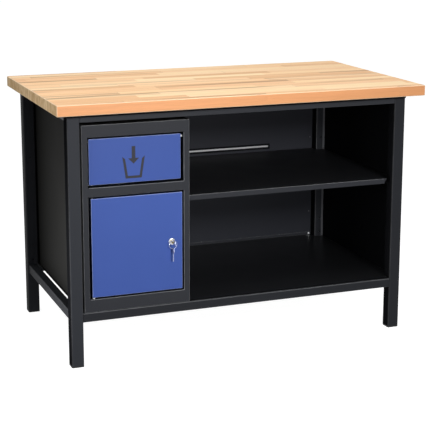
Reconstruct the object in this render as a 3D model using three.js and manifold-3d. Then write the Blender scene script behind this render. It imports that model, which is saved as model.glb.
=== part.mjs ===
// Workshop bench with a lockable waste cabinet, a swing flap and two open shelves.
// Millimetres, +Z up. The origin is on the floor under the middle of the worktop, and the front faces -Y.
import * as THREE from 'three';
import { mergeVertices } from 'three/addons/utils/BufferGeometryUtils.js';
import Module from 'manifold-3d';

const wasm = await Module();
wasm.setup();

// Worktop
const TOP_WIDTH = 1250;
const TOP_DEPTH = 700;
const TOP_THICK = 35;
const TOP_EASING = 3;
const BENCH_HEIGHT = 850;

// Tube frame under the worktop
const OVERHANG_FRONT = 54;
const OVERHANG_REAR = 4;
const OVERHANG_SIDE = 43;
const POST = 40;
const POST_RADIUS = 4;
const RAIL = 30;
const RAIL_RADIUS = 3;
const RAIL_HEIGHT = 147;
const TOP_RAIL_HEIGHT = 30;
const TOP_RAIL_DEPTH = 20;
const TUBE_WALL = 2;
const FOOT_FLANGE = 5;
const FOOT_PLUG = 25;
const GUSSET = 70;
const GUSSET_THICK = 4;

// Wood screws that hold the worktop down
const SCREW_RADIUS = 2.5;
const SCREW_HEAD_RADIUS = 6;
const SCREW_HEAD = 3.5;
const SCREW_BITE = 22;
const SCREW_FROM_POST = 20;
const SCREW_FROM_RAIL = 28;

// Sheet metal, and the gap that is left where two pieces meet
const SHEET = 1.5;
const GAP = 0.25;
const RUNNING = 0.3;

// How far a cut runs past the face that it opens
const PAST = 1;

// Cable slot in the back panel
const SLOT_LENGTH = 328;
const SLOT_HEIGHT = 10;
const SLOT_ABOVE_SHELF = 13.5;

// Shelves in the open bay
const SHELF_TOP = 519.5;
const SHELF_FLANGE = 9.5;
const SHELF_LIP_RISE = 7.5;
const SHELF_SETBACK = 15;
const SHELF_NOTCH_SIDE = 21;
const SHELF_NOTCH_BACK = 6;
const FLOOR_SETBACK = 2;
const CLEAT = 20;
const CLEAT_THICK = 2;
const CLEAT_INSET = 10;

// Cabinet shell and its folded front frame
const CABINET_WIDTH = 351;
const CABINET_POST_GAP = 6;
const CABINET_TOP_GAP = 10;
const CABINET_REAR_GAP = 6;
const CABINET_SETBACK = 4;
const FRAME_DEPTH = 18;
const FRAME_RETURN = 27;
const STILE = 19;
const FRAME_TOP = 39;
const FLAP_OPENING = 158;
const FRAME_MIDDLE = 30;
const FRAME_BOTTOM = 41;
const STOP_LIP = 11;

// Door, hung on two pivot pins near its left edge
const DOOR_DEPTH = 18;
const DOOR_GAP_HINGE = 6.5;
const DOOR_GAP_LOCK = 4.5;
const DOOR_GAP_TOP = 4;
const DOOR_GAP_BOTTOM = 4.5;
const PIVOT_FROM_EDGE = 7;
const PIVOT_FROM_FACE = 9;
const STIFFENER_WIDTH = 40;
const STIFFENER_DEPTH = 12;
const STIFFENER_END = 20;

// Pivot pins and their bushes, on the door and on the flap
const PIN_RADIUS = 2.5;
const PIN_INSIDE = 14;
const PIN_OUTSIDE = 12;
const BUSH_WALL = 1.2;
const BUSH_COLLAR = 1;
const BUSH_TAIL = 3;

// Waste flap, recessed in its opening and hung at the top corners
const FLAP_GAP = 5;
const FLAP_GAP_TOP = 6;
const FLAP_GAP_BOTTOM = 4.5;
const FLAP_RECESS = 12;
const FLAP_DEPTH = 12;
const FLAP_PIVOT_DROP = 9;

// Cam lock
const LOCK_FROM_EDGE = 37;
const LOCK_ROSETTE_RADIUS = 11;
const LOCK_ROSETTE = 2.5;
const LOCK_BODY_RADIUS = 9;
const LOCK_LENGTH = 28;
const LOCK_NUT_RADIUS = 13;
const LOCK_NUT = 5;
const PLUG_RADIUS = 5;
const PLUG_PROUD = 0.5;
const CAM_LENGTH = 48;
const CAM_WIDTH = 15;
const CAM_THICK = 2.5;
const CAM_SCREW_RADIUS = 2;
const CAM_SCREW_BITE = 10;
const CAM_SCREW_HEAD = 3;
const CAM_SCREW_HEAD_RADIUS = 4;

// Keys: one in the lock, one on the ring
const KEY_THICK = 2;
const KEY_BLADE = 7;
const KEY_BITE = 18;
const KEY_SHOULDER_RADIUS = 4;
const KEY_SHOULDER = 13;
const KEY_BOW_RADIUS = 10;
const KEY_BOW_HOLE = 3;
const KEY_HOLE_OFFSET = 5;
const SPARE_BLADE_LENGTH = 26;
const KEY_BLADE_OVERLAP = 1;
const RING_FROM_PLUG = 9;
const RING_RADIUS = 13;
const RING_WIRE = 0.8;

// Loose bin that stands on the cabinet floor
const BIN_WIDTH = 250;
const BIN_DEPTH = 420;
const BIN_HEIGHT = 300;
const BIN_RIM = 10;
const BIN_FRONT_GAP = 60;

// Segments of the round pieces
const ROUND = 12;
const NUT_SIDES = 6;
const RING_TURN = 20;
const RING_SECTION = 6;
const CORNER = 2;

// Places that follow from the sizes above
const LEFT = -TOP_WIDTH / 2 + OVERHANG_SIDE;
const RIGHT = -LEFT;
const FRONT = -TOP_DEPTH / 2 + OVERHANG_FRONT;
const REAR = TOP_DEPTH / 2 - OVERHANG_REAR;
const UNDER_TOP = BENCH_HEIGHT - TOP_THICK;
const RAIL_INSET = (POST - RAIL) / 2;
const RAIL_TOP = RAIL_HEIGHT + RAIL;
const POST_IN_LEFT = LEFT + POST;
const POST_IN_RIGHT = RIGHT - POST;
const POST_IN_FRONT = FRONT + POST;
const POST_IN_REAR = REAR - POST;
const PANEL_RIGHT = RIGHT - RAIL_INSET + GAP;
const PANEL_REAR = REAR - RAIL_INSET + GAP;
const CABINET = {
  left: POST_IN_LEFT + CABINET_POST_GAP,
  right: POST_IN_LEFT + CABINET_POST_GAP + CABINET_WIDTH,
  front: FRONT + CABINET_SETBACK,
  rear: REAR - RAIL_INSET - CABINET_REAR_GAP,
  bottom: RAIL_TOP + GAP,
  top: UNDER_TOP - TOP_RAIL_HEIGHT - CABINET_TOP_GAP,
};
const SHELL_FRONT = CABINET.front + FRAME_DEPTH + GAP;
const OPENING = { left: CABINET.left + STILE, right: CABINET.right - STILE };
const FLAP_HOLE = { top: CABINET.top - FRAME_TOP, bottom: CABINET.top - FRAME_TOP - FLAP_OPENING };
const DOOR_HOLE = { top: FLAP_HOLE.bottom - FRAME_MIDDLE, bottom: CABINET.bottom + FRAME_BOTTOM };
const DOOR = {
  left: OPENING.left + DOOR_GAP_HINGE,
  right: OPENING.right - DOOR_GAP_LOCK,
  bottom: DOOR_HOLE.bottom + DOOR_GAP_BOTTOM,
  top: DOOR_HOLE.top - DOOR_GAP_TOP,
  front: CABINET.front,
};
const HINGE = { x: DOOR.left + PIVOT_FROM_EDGE, y: DOOR.front + PIVOT_FROM_FACE };
const LOCK = { x: DOOR.right - LOCK_FROM_EDGE, z: (DOOR.bottom + DOOR.top) / 2 };
const LOCK_FACE = DOOR.front - GAP - LOCK_ROSETTE;
const LOCK_BACK = DOOR.front + LOCK_LENGTH;
const PLUG_FACE = LOCK_FACE - PLUG_PROUD;
const FLAP = {
  left: OPENING.left + FLAP_GAP,
  right: OPENING.right - FLAP_GAP,
  bottom: FLAP_HOLE.bottom + FLAP_GAP_BOTTOM,
  top: FLAP_HOLE.top - FLAP_GAP_TOP,
  front: CABINET.front + FLAP_RECESS,
};
const FLAP_AXIS = { y: FLAP.front + FLAP_DEPTH / 2, z: FLAP.top - FLAP_PIVOT_DROP };
const SHOULDER_FRONT = PLUG_FACE - GAP - KEY_SHOULDER;
const RING = {
  y: PLUG_FACE - GAP - RING_FROM_PLUG,
  top: LOCK.z + KEY_SHOULDER_RADIUS + RING_WIRE + RUNNING,
};
const SPARE_HOLE_Z = RING.top - 2 * RING_RADIUS - KEY_BOW_HOLE + RING_WIRE + RUNNING;

const FINISH = {
  beech: { color: 0xe8b98a, roughness: 0.45, metalness: 0 },
  black: { color: 0x2d3034, roughness: 0.55, metalness: 0.1 },
  blue: { color: 0x3a4f9e, roughness: 0.45, metalness: 0.1 },
  rubber: { color: 0x141414, roughness: 0.8, metalness: 0 },
  zinc: { color: 0xb9bcc0, roughness: 0.35, metalness: 0.9 },
  chrome: { color: 0xd8dadc, roughness: 0.15, metalness: 1 },
  brass: { color: 0xc9b27a, roughness: 0.3, metalness: 0.9 },
  nylon: { color: 0xd9d9d2, roughness: 0.6, metalness: 0 },
};

const bench = new THREE.Group();

/** Adds one named sub-part with a material of its own. */
function addPart(name, geometry, finish) {
  const mesh = new THREE.Mesh(geometry, new THREE.MeshStandardMaterial(FINISH[finish]));
  mesh.name = name;
  bench.add(mesh);
}

/** Turns closed triangles into a solid that can be joined and cut. */
function solid(geometry) {
  const bare = geometry.clone();
  bare.deleteAttribute('normal');
  bare.deleteAttribute('uv');
  const merged = mergeVertices(bare);
  return new wasm.Manifold(new wasm.Mesh({
    numProp: 3,
    vertProperties: Float32Array.from(merged.attributes.position.array),
    triVerts: Uint32Array.from(merged.index.array),
  }));
}

/** Joins some shapes, cuts others away, and gives the triangles back. */
function shaped(added, removed = []) {
  let body = solid(added[0]);
  for (const extra of added.slice(1)) body = body.add(solid(extra));
  for (const cut of removed) body = body.subtract(solid(cut));
  const mesh = body.getMesh();
  const geometry = new THREE.BufferGeometry();
  geometry.setAttribute('position', new THREE.BufferAttribute(mesh.vertProperties, 3));
  geometry.setIndex(new THREE.BufferAttribute(mesh.triVerts, 1));
  geometry.computeVertexNormals();
  return geometry;
}

/** Box between two opposite corners. */
function block([x0, y0, z0], [x1, y1, z1]) {
  const geometry = new THREE.BoxGeometry(x1 - x0, y1 - y0, z1 - z0);
  return geometry.translate((x0 + x1) / 2, (y0 + y1) / 2, (z0 + z1) / 2);
}

/** Round bar along 'x', 'y' or 'z', between two places on that axis. */
function rod(axis, radius, from, to, [u, v], segments = ROUND) {
  const geometry = new THREE.CylinderGeometry(radius, radius, to - from, segments);
  const middle = (from + to) / 2;
  if (axis === 'x') return geometry.rotateZ(Math.PI / 2).translate(middle, u, v);
  if (axis === 'y') return geometry.translate(u, middle, v);
  return geometry.rotateX(Math.PI / 2).translate(u, v, middle);
}

/** Outline of a rectangle with round corners, centred on zero. */
function roundedRectangle(width, height, radius, Outline) {
  const [x, y] = [width / 2, height / 2];
  const outline = new Outline();
  outline.moveTo(x - radius, -y);
  outline.absarc(x - radius, -y + radius, radius, -Math.PI / 2, 0);
  outline.absarc(x - radius, y - radius, radius, 0, Math.PI / 2);
  outline.absarc(-x + radius, y - radius, radius, Math.PI / 2, Math.PI);
  outline.absarc(-x + radius, -y + radius, radius, Math.PI, Math.PI * 1.5);
  outline.closePath();
  return outline;
}

/** Straight extrusion of an outline along +Z. */
function extruded(outline, depth) {
  return new THREE.ExtrudeGeometry(outline, { depth, bevelEnabled: false, curveSegments: CORNER });
}

/** Rectangular tube with round corners, standing on zero along +Z. */
function tube(width, height, length, radius) {
  const section = roundedRectangle(width, height, radius, THREE.Shape);
  const bore = [width - 2 * TUBE_WALL, height - 2 * TUBE_WALL];
  section.holes.push(roundedRectangle(...bore, radius - TUBE_WALL / 2, THREE.Path));
  return extruded(section, length);
}

/** Sheet tray: a box with one open side, which is opened along the axis and sign given. */
function tray(low, high, axis, sign, wall = SHEET) {
  const inner = [low.map((value) => value + wall), high.map((value) => value - wall)];
  inner[sign > 0 ? 1 : 0][axis] = (sign > 0 ? high : low)[axis] + sign * wall;
  return shaped([block(low, high)], [block(...inner)]);
}

/** Calls a maker for the four corners of the frame, with the signs of X and Y. */
function forCorners(make) {
  for (const [side, sx] of [['left', -1], ['right', 1]]) {
    for (const [end, sy] of [['front', -1], ['rear', 1]]) make(`${end}_${side}`, sx, sy);
  }
}

/** Place of the screw in a corner gusset, from the post beside it and the rail at its end. */
function screwPlace(sx, sy) {
  const inside = sy < 0 ? FRONT + TOP_RAIL_DEPTH : REAR - RAIL_INSET - TOP_RAIL_DEPTH;
  return [sx * (POST_IN_RIGHT - SCREW_FROM_POST), inside - sy * SCREW_FROM_RAIL];
}

function addWorktop() {
  const corners = roundedRectangle(
    TOP_WIDTH - 2 * TOP_EASING, TOP_DEPTH - 2 * TOP_EASING, TOP_EASING, THREE.Shape);
  const board = new THREE.ExtrudeGeometry(corners, {
    depth: TOP_THICK - 2 * TOP_EASING,
    bevelThickness: TOP_EASING,
    bevelSize: TOP_EASING,
    bevelSegments: 2,
    curveSegments: 1,
  });
  board.translate(0, 0, UNDER_TOP + TOP_EASING);
  const holes = [];
  forCorners((corner, sx, sy) => {
    const depth = UNDER_TOP + SCREW_BITE + RUNNING;
    holes.push(rod('z', SCREW_RADIUS + RUNNING, UNDER_TOP - PAST, depth, screwPlace(sx, sy)));
  });
  addPart('worktop', shaped([board], holes), 'beech');
}

/** Four tube posts, each on a plastic cap that is pushed into its foot. */
function addPosts() {
  const foot = FOOT_FLANGE + GAP;
  const plugWidth = POST - 2 * TUBE_WALL - 2 * RUNNING;
  forCorners((corner, sx, sy) => {
    const x = sx < 0 ? LEFT + POST / 2 : RIGHT - POST / 2;
    const y = sy < 0 ? FRONT + POST / 2 : REAR - POST / 2;
    const post = tube(POST, POST, UNDER_TOP - GAP - foot, POST_RADIUS);
    addPart(`post_${corner}`, post.translate(x, y, foot), 'black');
    const flange = extruded(roundedRectangle(POST, POST, POST_RADIUS, THREE.Shape), FOOT_FLANGE);
    const plug = extruded(
      roundedRectangle(plugWidth, plugWidth, POST_RADIUS, THREE.Shape), FOOT_FLANGE + FOOT_PLUG);
    addPart(`foot_cap_${corner}`, shaped([flange, plug]).translate(x, y, 0), 'rubber');
  });
}

/** Rails between the posts. The front ones lie flush, the others are set in from the posts' outer faces. */
function addRails() {
  const across = POST_IN_RIGHT - POST_IN_LEFT - 2 * GAP;
  const along = POST_IN_REAR - POST_IN_FRONT - 2 * GAP;
  const kinds = [
    {
      name: 'top_rail',
      width: TOP_RAIL_DEPTH,
      height: TOP_RAIL_HEIGHT,
      z: UNDER_TOP - GAP - TOP_RAIL_HEIGHT / 2,
    },
    { name: 'bottom_rail', width: RAIL, height: RAIL, z: RAIL_HEIGHT + RAIL / 2 },
  ];
  for (const { name, width, height, z } of kinds) {
    const acrossTube = () => tube(height, width, across, RAIL_RADIUS)
      .rotateY(Math.PI / 2).translate(POST_IN_LEFT + GAP, 0, z);
    const alongTube = () => tube(width, height, along, RAIL_RADIUS)
      .rotateX(-Math.PI / 2).translate(0, POST_IN_FRONT + GAP, z);
    const inset = RAIL_INSET + width / 2;
    addPart(`${name}_front`, acrossTube().translate(0, FRONT + width / 2, 0), 'black');
    addPart(`${name}_rear`, acrossTube().translate(0, REAR - inset, 0), 'black');
    addPart(`${name}_left`, alongTube().translate(LEFT + inset, 0, 0), 'black');
    addPart(`${name}_right`, alongTube().translate(RIGHT - inset, 0, 0), 'black');
  }
}

/** Gusset plates in the top corners, each with a wood screw up into the worktop. */
function addGussets() {
  const top = UNDER_TOP - GAP;
  forCorners((corner, sx, sy) => {
    const postX = sx * (POST_IN_RIGHT - GAP);
    const sideX = sx * (RIGHT - RAIL_INSET - TOP_RAIL_DEPTH - GAP);
    const postY = sy < 0 ? POST_IN_FRONT + GAP : POST_IN_REAR - GAP;
    const endY = sy < 0 ? FRONT + TOP_RAIL_DEPTH + GAP : REAR - RAIL_INSET - TOP_RAIL_DEPTH - GAP;
    const plate = new THREE.Shape([
      new THREE.Vector2(postX, endY),
      new THREE.Vector2(postX - sx * GUSSET, endY),
      new THREE.Vector2(sideX, postY - sy * GUSSET),
      new THREE.Vector2(sideX, postY),
      new THREE.Vector2(postX, postY),
    ]);
    const place = screwPlace(sx, sy);
    const hole = rod('z', SCREW_RADIUS + RUNNING, top - 2 * GUSSET_THICK, top + GUSSET_THICK, place);
    const sheet = extruded(plate, GUSSET_THICK).translate(0, 0, top - GUSSET_THICK);
    addPart(`gusset_${corner}`, shaped([sheet], [hole]), 'black');
    const headTop = top - GUSSET_THICK - GAP;
    const shank = rod('z', SCREW_RADIUS, headTop - SCREW_HEAD / 2, UNDER_TOP + SCREW_BITE, place);
    const head = rod('z', SCREW_HEAD_RADIUS, headTop - SCREW_HEAD, headTop, place);
    addPart(`worktop_screw_${corner}`, shaped([head, shank]), 'zinc');
  });
}

/** Sheets that close the right side and the back, lapped on the outer faces of the rails. */
function addPanels() {
  const bottom = RAIL_HEIGHT;
  const top = UNDER_TOP - GAP;
  addPart('right_side_panel', block(
    [PANEL_RIGHT, POST_IN_FRONT + GAP, bottom],
    [PANEL_RIGHT + SHEET, POST_IN_REAR - GAP, top]), 'black');
  const slotMiddle = (CABINET.right + PANEL_RIGHT) / 2;
  const slotBottom = SHELF_TOP + SLOT_ABOVE_SHELF;
  const slot = block(
    [slotMiddle - SLOT_LENGTH / 2, PANEL_REAR - SHEET, slotBottom],
    [slotMiddle + SLOT_LENGTH / 2, PANEL_REAR + 2 * SHEET, slotBottom + SLOT_HEIGHT]);
  const back = block(
    [POST_IN_LEFT + GAP, PANEL_REAR, bottom],
    [POST_IN_RIGHT - GAP, PANEL_REAR + SHEET, top]);
  addPart('back_panel', shaped([back], [slot]), 'black');
}

/** Floor sheet and folded middle shelf of the open bay, with the cleats that carry the shelf. */
function addShelves() {
  const left = CABINET.right + GAP;
  const right = PANEL_RIGHT - GAP;
  const rear = PANEL_REAR - GAP;
  const postNotch = (clear, low, high) => block(
    [POST_IN_RIGHT - clear, low, 0], [RIGHT + POST, high, BENCH_HEIGHT]);
  const rearNotch = postNotch(GAP, POST_IN_REAR - GAP, REAR + POST);
  const sheetBottom = RAIL_TOP + GAP;
  const floor = block(
    [left, FRONT + FLOOR_SETBACK, sheetBottom], [right, rear, sheetBottom + SHEET]);
  const frontNotch = postNotch(GAP, FRONT - POST, POST_IN_FRONT + GAP);
  addPart('bottom_shelf', shaped([floor], [frontNotch, rearNotch]), 'black');

  const lipBottom = SHELF_TOP - SHELF_FLANGE;
  const lipFront = FRONT + SHELF_SETBACK;
  const pan = tray([left, lipFront, lipBottom], [right, rear, SHELF_TOP], 2, -1);
  const lip = block([left, lipFront, lipBottom], [right, lipFront + SHEET, SHELF_TOP + SHELF_LIP_RISE]);
  const lipNotch = postNotch(SHELF_NOTCH_SIDE, FRONT - POST, POST_IN_FRONT + SHELF_NOTCH_BACK);
  addPart('middle_shelf', shaped([pan, lip], [lipNotch, rearNotch]), 'black');

  const cleatTop = lipBottom - GAP;
  for (const [side, wall, sign] of [['left', left, 1], ['right', right, -1]]) {
    const low = POST_IN_FRONT + SHELF_NOTCH_BACK + CLEAT_INSET;
    const high = POST_IN_REAR - CLEAT_INSET;
    const leg = [wall, wall + sign * CLEAT_THICK].sort((a, b) => a - b);
    const arm = [wall, wall + sign * CLEAT].sort((a, b) => a - b);
    addPart(`shelf_cleat_${side}`, shaped([
      block([leg[0], low, cleatTop - CLEAT], [leg[1], high, cleatTop]),
      block([arm[0], low, cleatTop - CLEAT_THICK], [arm[1], high, cleatTop]),
    ]), 'black');
  }
}

/** Collared plastic bush on a pivot pin, from its collar's free face to its tail. */
function bush(axis, collarFrom, collarTo, tail, place) {
  const outer = PIN_RADIUS + RUNNING + BUSH_WALL;
  const ends = [collarFrom, collarTo, tail];
  const [low, high] = [Math.min(...ends), Math.max(...ends)];
  const collar = [collarFrom, collarTo].sort((a, b) => a - b);
  return shaped(
    [rod(axis, outer, low, high, place), rod(axis, outer + BUSH_COLLAR, ...collar, place)],
    [rod(axis, PIN_RADIUS + RUNNING, low - PAST, high + PAST, place)]);
}

/** Sheet shell of the cabinet. It stands on the front and rear bottom rails. */
function addCabinetShell() {
  const { left, right, rear, bottom, top } = CABINET;
  const inLeft = left + SHEET + GAP;
  const inRight = right - SHEET - GAP;
  const inRear = rear - SHEET - GAP;
  addPart('cabinet_left_wall', block([left, SHELL_FRONT, bottom], [left + SHEET, rear, top]), 'black');
  addPart('cabinet_right_wall', block([right - SHEET, SHELL_FRONT, bottom], [right, rear, top]), 'black');
  addPart('cabinet_back', block([inLeft, rear - SHEET, bottom], [inRight, rear, top]), 'black');
  addPart('cabinet_floor', block([inLeft, SHELL_FRONT, bottom], [inRight, inRear, bottom + SHEET]), 'black');
  addPart('cabinet_top', block([inLeft, SHELL_FRONT, top - SHEET], [inRight, inRear, top]), 'black');
}

/** Folded front frame with a flap opening over a door opening, and the bushes of both pivots. */
function addFrontFrame() {
  const { left, right, front, bottom, top } = CABINET;
  const back = front + FRAME_RETURN;
  const face = tray([left, front, bottom], [right, front + FRAME_DEPTH, top], 1, 1);
  const returns = [];
  const openings = [];
  for (const hole of [FLAP_HOLE, DOOR_HOLE]) {
    returns.push(block(
      [OPENING.left - SHEET, front, hole.bottom - SHEET], [OPENING.right + SHEET, back, hole.top + SHEET]));
    openings.push(block(
      [OPENING.left, front - PAST, hole.bottom], [OPENING.right, back + PAST, hole.top]));
  }
  const stop = block(
    [OPENING.left, back - SHEET, FLAP_HOLE.top - STOP_LIP], [OPENING.right, back, FLAP_HOLE.top + SHEET]);
  const bore = PIN_RADIUS + 2 * RUNNING + BUSH_WALL;
  const flapPlace = [FLAP_AXIS.y, FLAP_AXIS.z];
  const hingePlace = [HINGE.x, HINGE.y];
  const bores = [
    rod('x', bore, OPENING.left - 2 * SHEET, OPENING.left + SHEET, flapPlace),
    rod('x', bore, OPENING.right - SHEET, OPENING.right + 2 * SHEET, flapPlace),
    rod('z', bore, DOOR_HOLE.bottom - 2 * SHEET, DOOR_HOLE.bottom + SHEET, hingePlace),
    rod('z', bore, DOOR_HOLE.top - SHEET, DOOR_HOLE.top + 2 * SHEET, hingePlace),
  ];
  const frame = shaped([shaped([face, ...returns], openings), stop], bores);
  addPart('cabinet_front_frame', frame, 'black');

  const tail = SHEET + BUSH_TAIL;
  addPart('door_bush_bottom', bush('z', DOOR.bottom - RUNNING, DOOR_HOLE.bottom + GAP,
    DOOR_HOLE.bottom - tail, hingePlace), 'nylon');
  addPart('door_bush_top', bush('z', DOOR.top + RUNNING, DOOR_HOLE.top - GAP,
    DOOR_HOLE.top + tail, hingePlace), 'nylon');
  addPart('flap_bush_left', bush('x', FLAP.left - RUNNING, OPENING.left + GAP,
    OPENING.left - tail, flapPlace), 'nylon');
  addPart('flap_bush_right', bush('x', FLAP.right + RUNNING, OPENING.right - GAP,
    OPENING.right + tail, flapPlace), 'nylon');
}

/** Pan-shaped door with a stiffening channel and two pivot pins. */
function addDoor() {
  const { left, right, front, bottom, top } = DOOR;
  const pan = tray([left, front, bottom], [right, front + DOOR_DEPTH, top], 1, 1);
  const place = [HINGE.x, HINGE.y];
  const pinBore = PIN_RADIUS + GAP;
  addPart('door_panel', shaped([pan], [
    rod('z', pinBore, bottom - SHEET, bottom + 2 * SHEET, place),
    rod('z', pinBore, top - 2 * SHEET, top + SHEET, place),
    rod('y', LOCK_BODY_RADIUS + RUNNING, front - SHEET, front + 2 * SHEET, [LOCK.x, LOCK.z]),
  ]), 'blue');
  const seat = front + SHEET + GAP;
  const middle = (left + right) / 2;
  const ends = [bottom + STIFFENER_END, top - STIFFENER_END];
  const channel = block([middle - STIFFENER_WIDTH / 2, seat, ends[0]],
    [middle + STIFFENER_WIDTH / 2, seat + STIFFENER_DEPTH, ends[1]]);
  const hollow = block([middle - STIFFENER_WIDTH / 2 + SHEET, seat - SHEET, ends[0] - PAST],
    [middle + STIFFENER_WIDTH / 2 - SHEET, seat + STIFFENER_DEPTH - SHEET, ends[1] + PAST]);
  addPart('door_stiffener', shaped([channel], [hollow]), 'blue');
  const pins = {
    bottom: [DOOR_HOLE.bottom - PIN_OUTSIDE, bottom + PIN_INSIDE],
    top: [top - PIN_INSIDE, DOOR_HOLE.top + PIN_OUTSIDE],
  };
  for (const [end, [from, to]] of Object.entries(pins)) {
    addPart(`door_pin_${end}`, rod('z', PIN_RADIUS, from, to, place), 'zinc');
  }
}

/** Cam lock: a body held in the door by a nut, and a plug that turns the cam behind the door. */
function addLock() {
  const place = [LOCK.x, LOCK.z];
  const plugBore = rod('y', PLUG_RADIUS + RUNNING, LOCK_FACE - PAST, LOCK_BACK + PAST, place);
  addPart('lock_body', shaped([
    rod('y', LOCK_ROSETTE_RADIUS, LOCK_FACE, DOOR.front - GAP, place),
    rod('y', LOCK_BODY_RADIUS, LOCK_FACE, LOCK_BACK, place),
  ], [plugBore]), 'chrome');
  const nutSeat = DOOR.front + SHEET + GAP;
  addPart('lock_nut', shaped(
    [rod('y', LOCK_NUT_RADIUS, nutSeat, nutSeat + LOCK_NUT, place, NUT_SIDES)],
    [rod('y', LOCK_BODY_RADIUS + RUNNING, nutSeat - PAST, nutSeat + LOCK_NUT + PAST, place)]), 'zinc');

  const keyway = [KEY_THICK / 2 + RUNNING, KEY_BLADE / 2 + RUNNING];
  const screwBore = CAM_SCREW_RADIUS + RUNNING;
  addPart('lock_plug', shaped([rod('y', PLUG_RADIUS, PLUG_FACE, LOCK_BACK, place)], [
    block([LOCK.x - keyway[0], PLUG_FACE - PAST, LOCK.z - keyway[1]],
      [LOCK.x + keyway[0], PLUG_FACE + KEY_BITE + RUNNING, LOCK.z + keyway[1]]),
    rod('y', screwBore, LOCK_BACK - CAM_SCREW_BITE - RUNNING, LOCK_BACK + PAST, place),
  ]), 'brass');
  const camFace = LOCK_BACK + GAP;
  const tip = CAM_LENGTH - CAM_WIDTH / 2;
  const cam = shaped([
    block([LOCK.x - CAM_WIDTH / 2, camFace, LOCK.z - tip],
      [LOCK.x + CAM_WIDTH / 2, camFace + CAM_THICK, LOCK.z]),
    rod('y', CAM_WIDTH / 2, camFace, camFace + CAM_THICK, place),
    rod('y', CAM_WIDTH / 2, camFace, camFace + CAM_THICK, [LOCK.x, LOCK.z - tip]),
  ], [rod('y', screwBore, camFace - PAST, camFace + CAM_THICK + PAST, place)]);
  addPart('lock_cam', cam, 'zinc');
  const headFace = camFace + CAM_THICK + GAP;
  addPart('lock_cam_screw', shaped([
    rod('y', CAM_SCREW_RADIUS, LOCK_BACK - CAM_SCREW_BITE, headFace + CAM_SCREW_HEAD / 3, place),
    rod('y', CAM_SCREW_HEAD_RADIUS, headFace, headFace + CAM_SCREW_HEAD, place),
  ]), 'zinc');
}

/** Flat key in the plane X = 0: a bow of its own radius with a hole, at height zero, and a blade below it. */
function keyBlank(holeOffset, bladeLength) {
  const [x0, x1] = [-KEY_THICK / 2, KEY_THICK / 2];
  const bladeTop = KEY_BLADE_OVERLAP - KEY_BOW_RADIUS;
  return shaped([
    rod('x', KEY_BOW_RADIUS, x0, x1, [0, 0]),
    block([x0, -KEY_BLADE / 2, bladeTop - bladeLength], [x1, KEY_BLADE / 2, bladeTop + KEY_BLADE_OVERLAP]),
  ], [rod('x', KEY_BOW_HOLE, x0 - PAST, x1 + PAST, [0, holeOffset])]);
}

/** The key in the lock, the ring on its shoulder and the spare key on the ring. */
function addKeys() {
  const bowMiddle = SHOULDER_FRONT - KEY_BOW_RADIUS + KEY_BLADE_OVERLAP;
  const blade = PLUG_FACE + KEY_BITE - SHOULDER_FRONT;
  const key = keyBlank(KEY_HOLE_OFFSET, blade)
    .rotateX(Math.PI / 2).translate(LOCK.x, bowMiddle, LOCK.z);
  const shoulder = rod('y', KEY_SHOULDER_RADIUS, SHOULDER_FRONT, PLUG_FACE - GAP, [LOCK.x, LOCK.z]);
  addPart('lock_key', shaped([key, shoulder]), 'chrome');

  const ring = new THREE.TorusGeometry(RING_RADIUS, RING_WIRE, RING_SECTION, RING_TURN)
    .rotateX(Math.PI / 2).rotateY(Math.PI / RING_TURN)
    .translate(LOCK.x, RING.y, RING.top - RING_RADIUS);
  addPart('key_ring', shaped([ring]), 'chrome');

  const spare = keyBlank(KEY_HOLE_OFFSET, SPARE_BLADE_LENGTH)
    .translate(LOCK.x, RING.y, SPARE_HOLE_Z - KEY_HOLE_OFFSET);
  addPart('spare_key', spare, 'chrome');
}

/** Pan-shaped waste flap on two short pins. */
function addFlap() {
  const { left, right, front, bottom, top } = FLAP;
  const pan = tray([left, front, bottom], [right, front + FLAP_DEPTH, top], 1, 1);
  const place = [FLAP_AXIS.y, FLAP_AXIS.z];
  const pinBore = PIN_RADIUS + GAP;
  addPart('waste_flap', shaped([pan], [
    rod('x', pinBore, left - SHEET, left + 2 * SHEET, place),
    rod('x', pinBore, right - 2 * SHEET, right + SHEET, place),
  ]), 'blue');
  const pins = {
    left: [OPENING.left - PIN_OUTSIDE, left + PIN_INSIDE],
    right: [right - PIN_INSIDE, OPENING.right + PIN_OUTSIDE],
  };
  for (const [side, [from, to]] of Object.entries(pins)) {
    addPart(`flap_pin_${side}`, rod('x', PIN_RADIUS, from, to, place), 'zinc');
  }
}

/** Open-topped sheet bin with a rim, standing on the cabinet floor. */
function addBin() {
  const middle = (OPENING.left + OPENING.right) / 2;
  const front = CABINET.front + BIN_FRONT_GAP;
  const bottom = CABINET.bottom + SHEET + GAP;
  const top = bottom + BIN_HEIGHT;
  const low = [middle - BIN_WIDTH / 2, front, bottom];
  const high = [middle + BIN_WIDTH / 2, front + BIN_DEPTH, top];
  const rim = block(
    [low[0] - BIN_RIM, low[1] - BIN_RIM, top - SHEET], [high[0] + BIN_RIM, high[1] + BIN_RIM, top]);
  const mouth = block(
    [low[0] + SHEET, low[1] + SHEET, bottom + SHEET], [high[0] - SHEET, high[1] - SHEET, top + PAST]);
  addPart('waste_bin', shaped([block(low, high), rim], [mouth]), 'zinc');
}

addWorktop();
addPosts();
addRails();
addGussets();
addPanels();
addShelves();
addCabinetShell();
addFrontFrame();
addDoor();
addLock();
addKeys();
addFlap();
addBin();

export default bench;
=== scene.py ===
"""Looks of a workshop bench: a beech worktop on a dark enamelled tube frame.

Under the worktop are a waste cabinet on the left and two open shelves on the right.
"""

import logging
import math
from contextlib import contextmanager
from dataclasses import dataclass, field, replace
from enum import Enum
from itertools import pairwise
from typing import Any, Callable, Iterator, Mapping, Sequence

import bmesh
import bpy
from mathutils import Matrix, Vector


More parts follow.
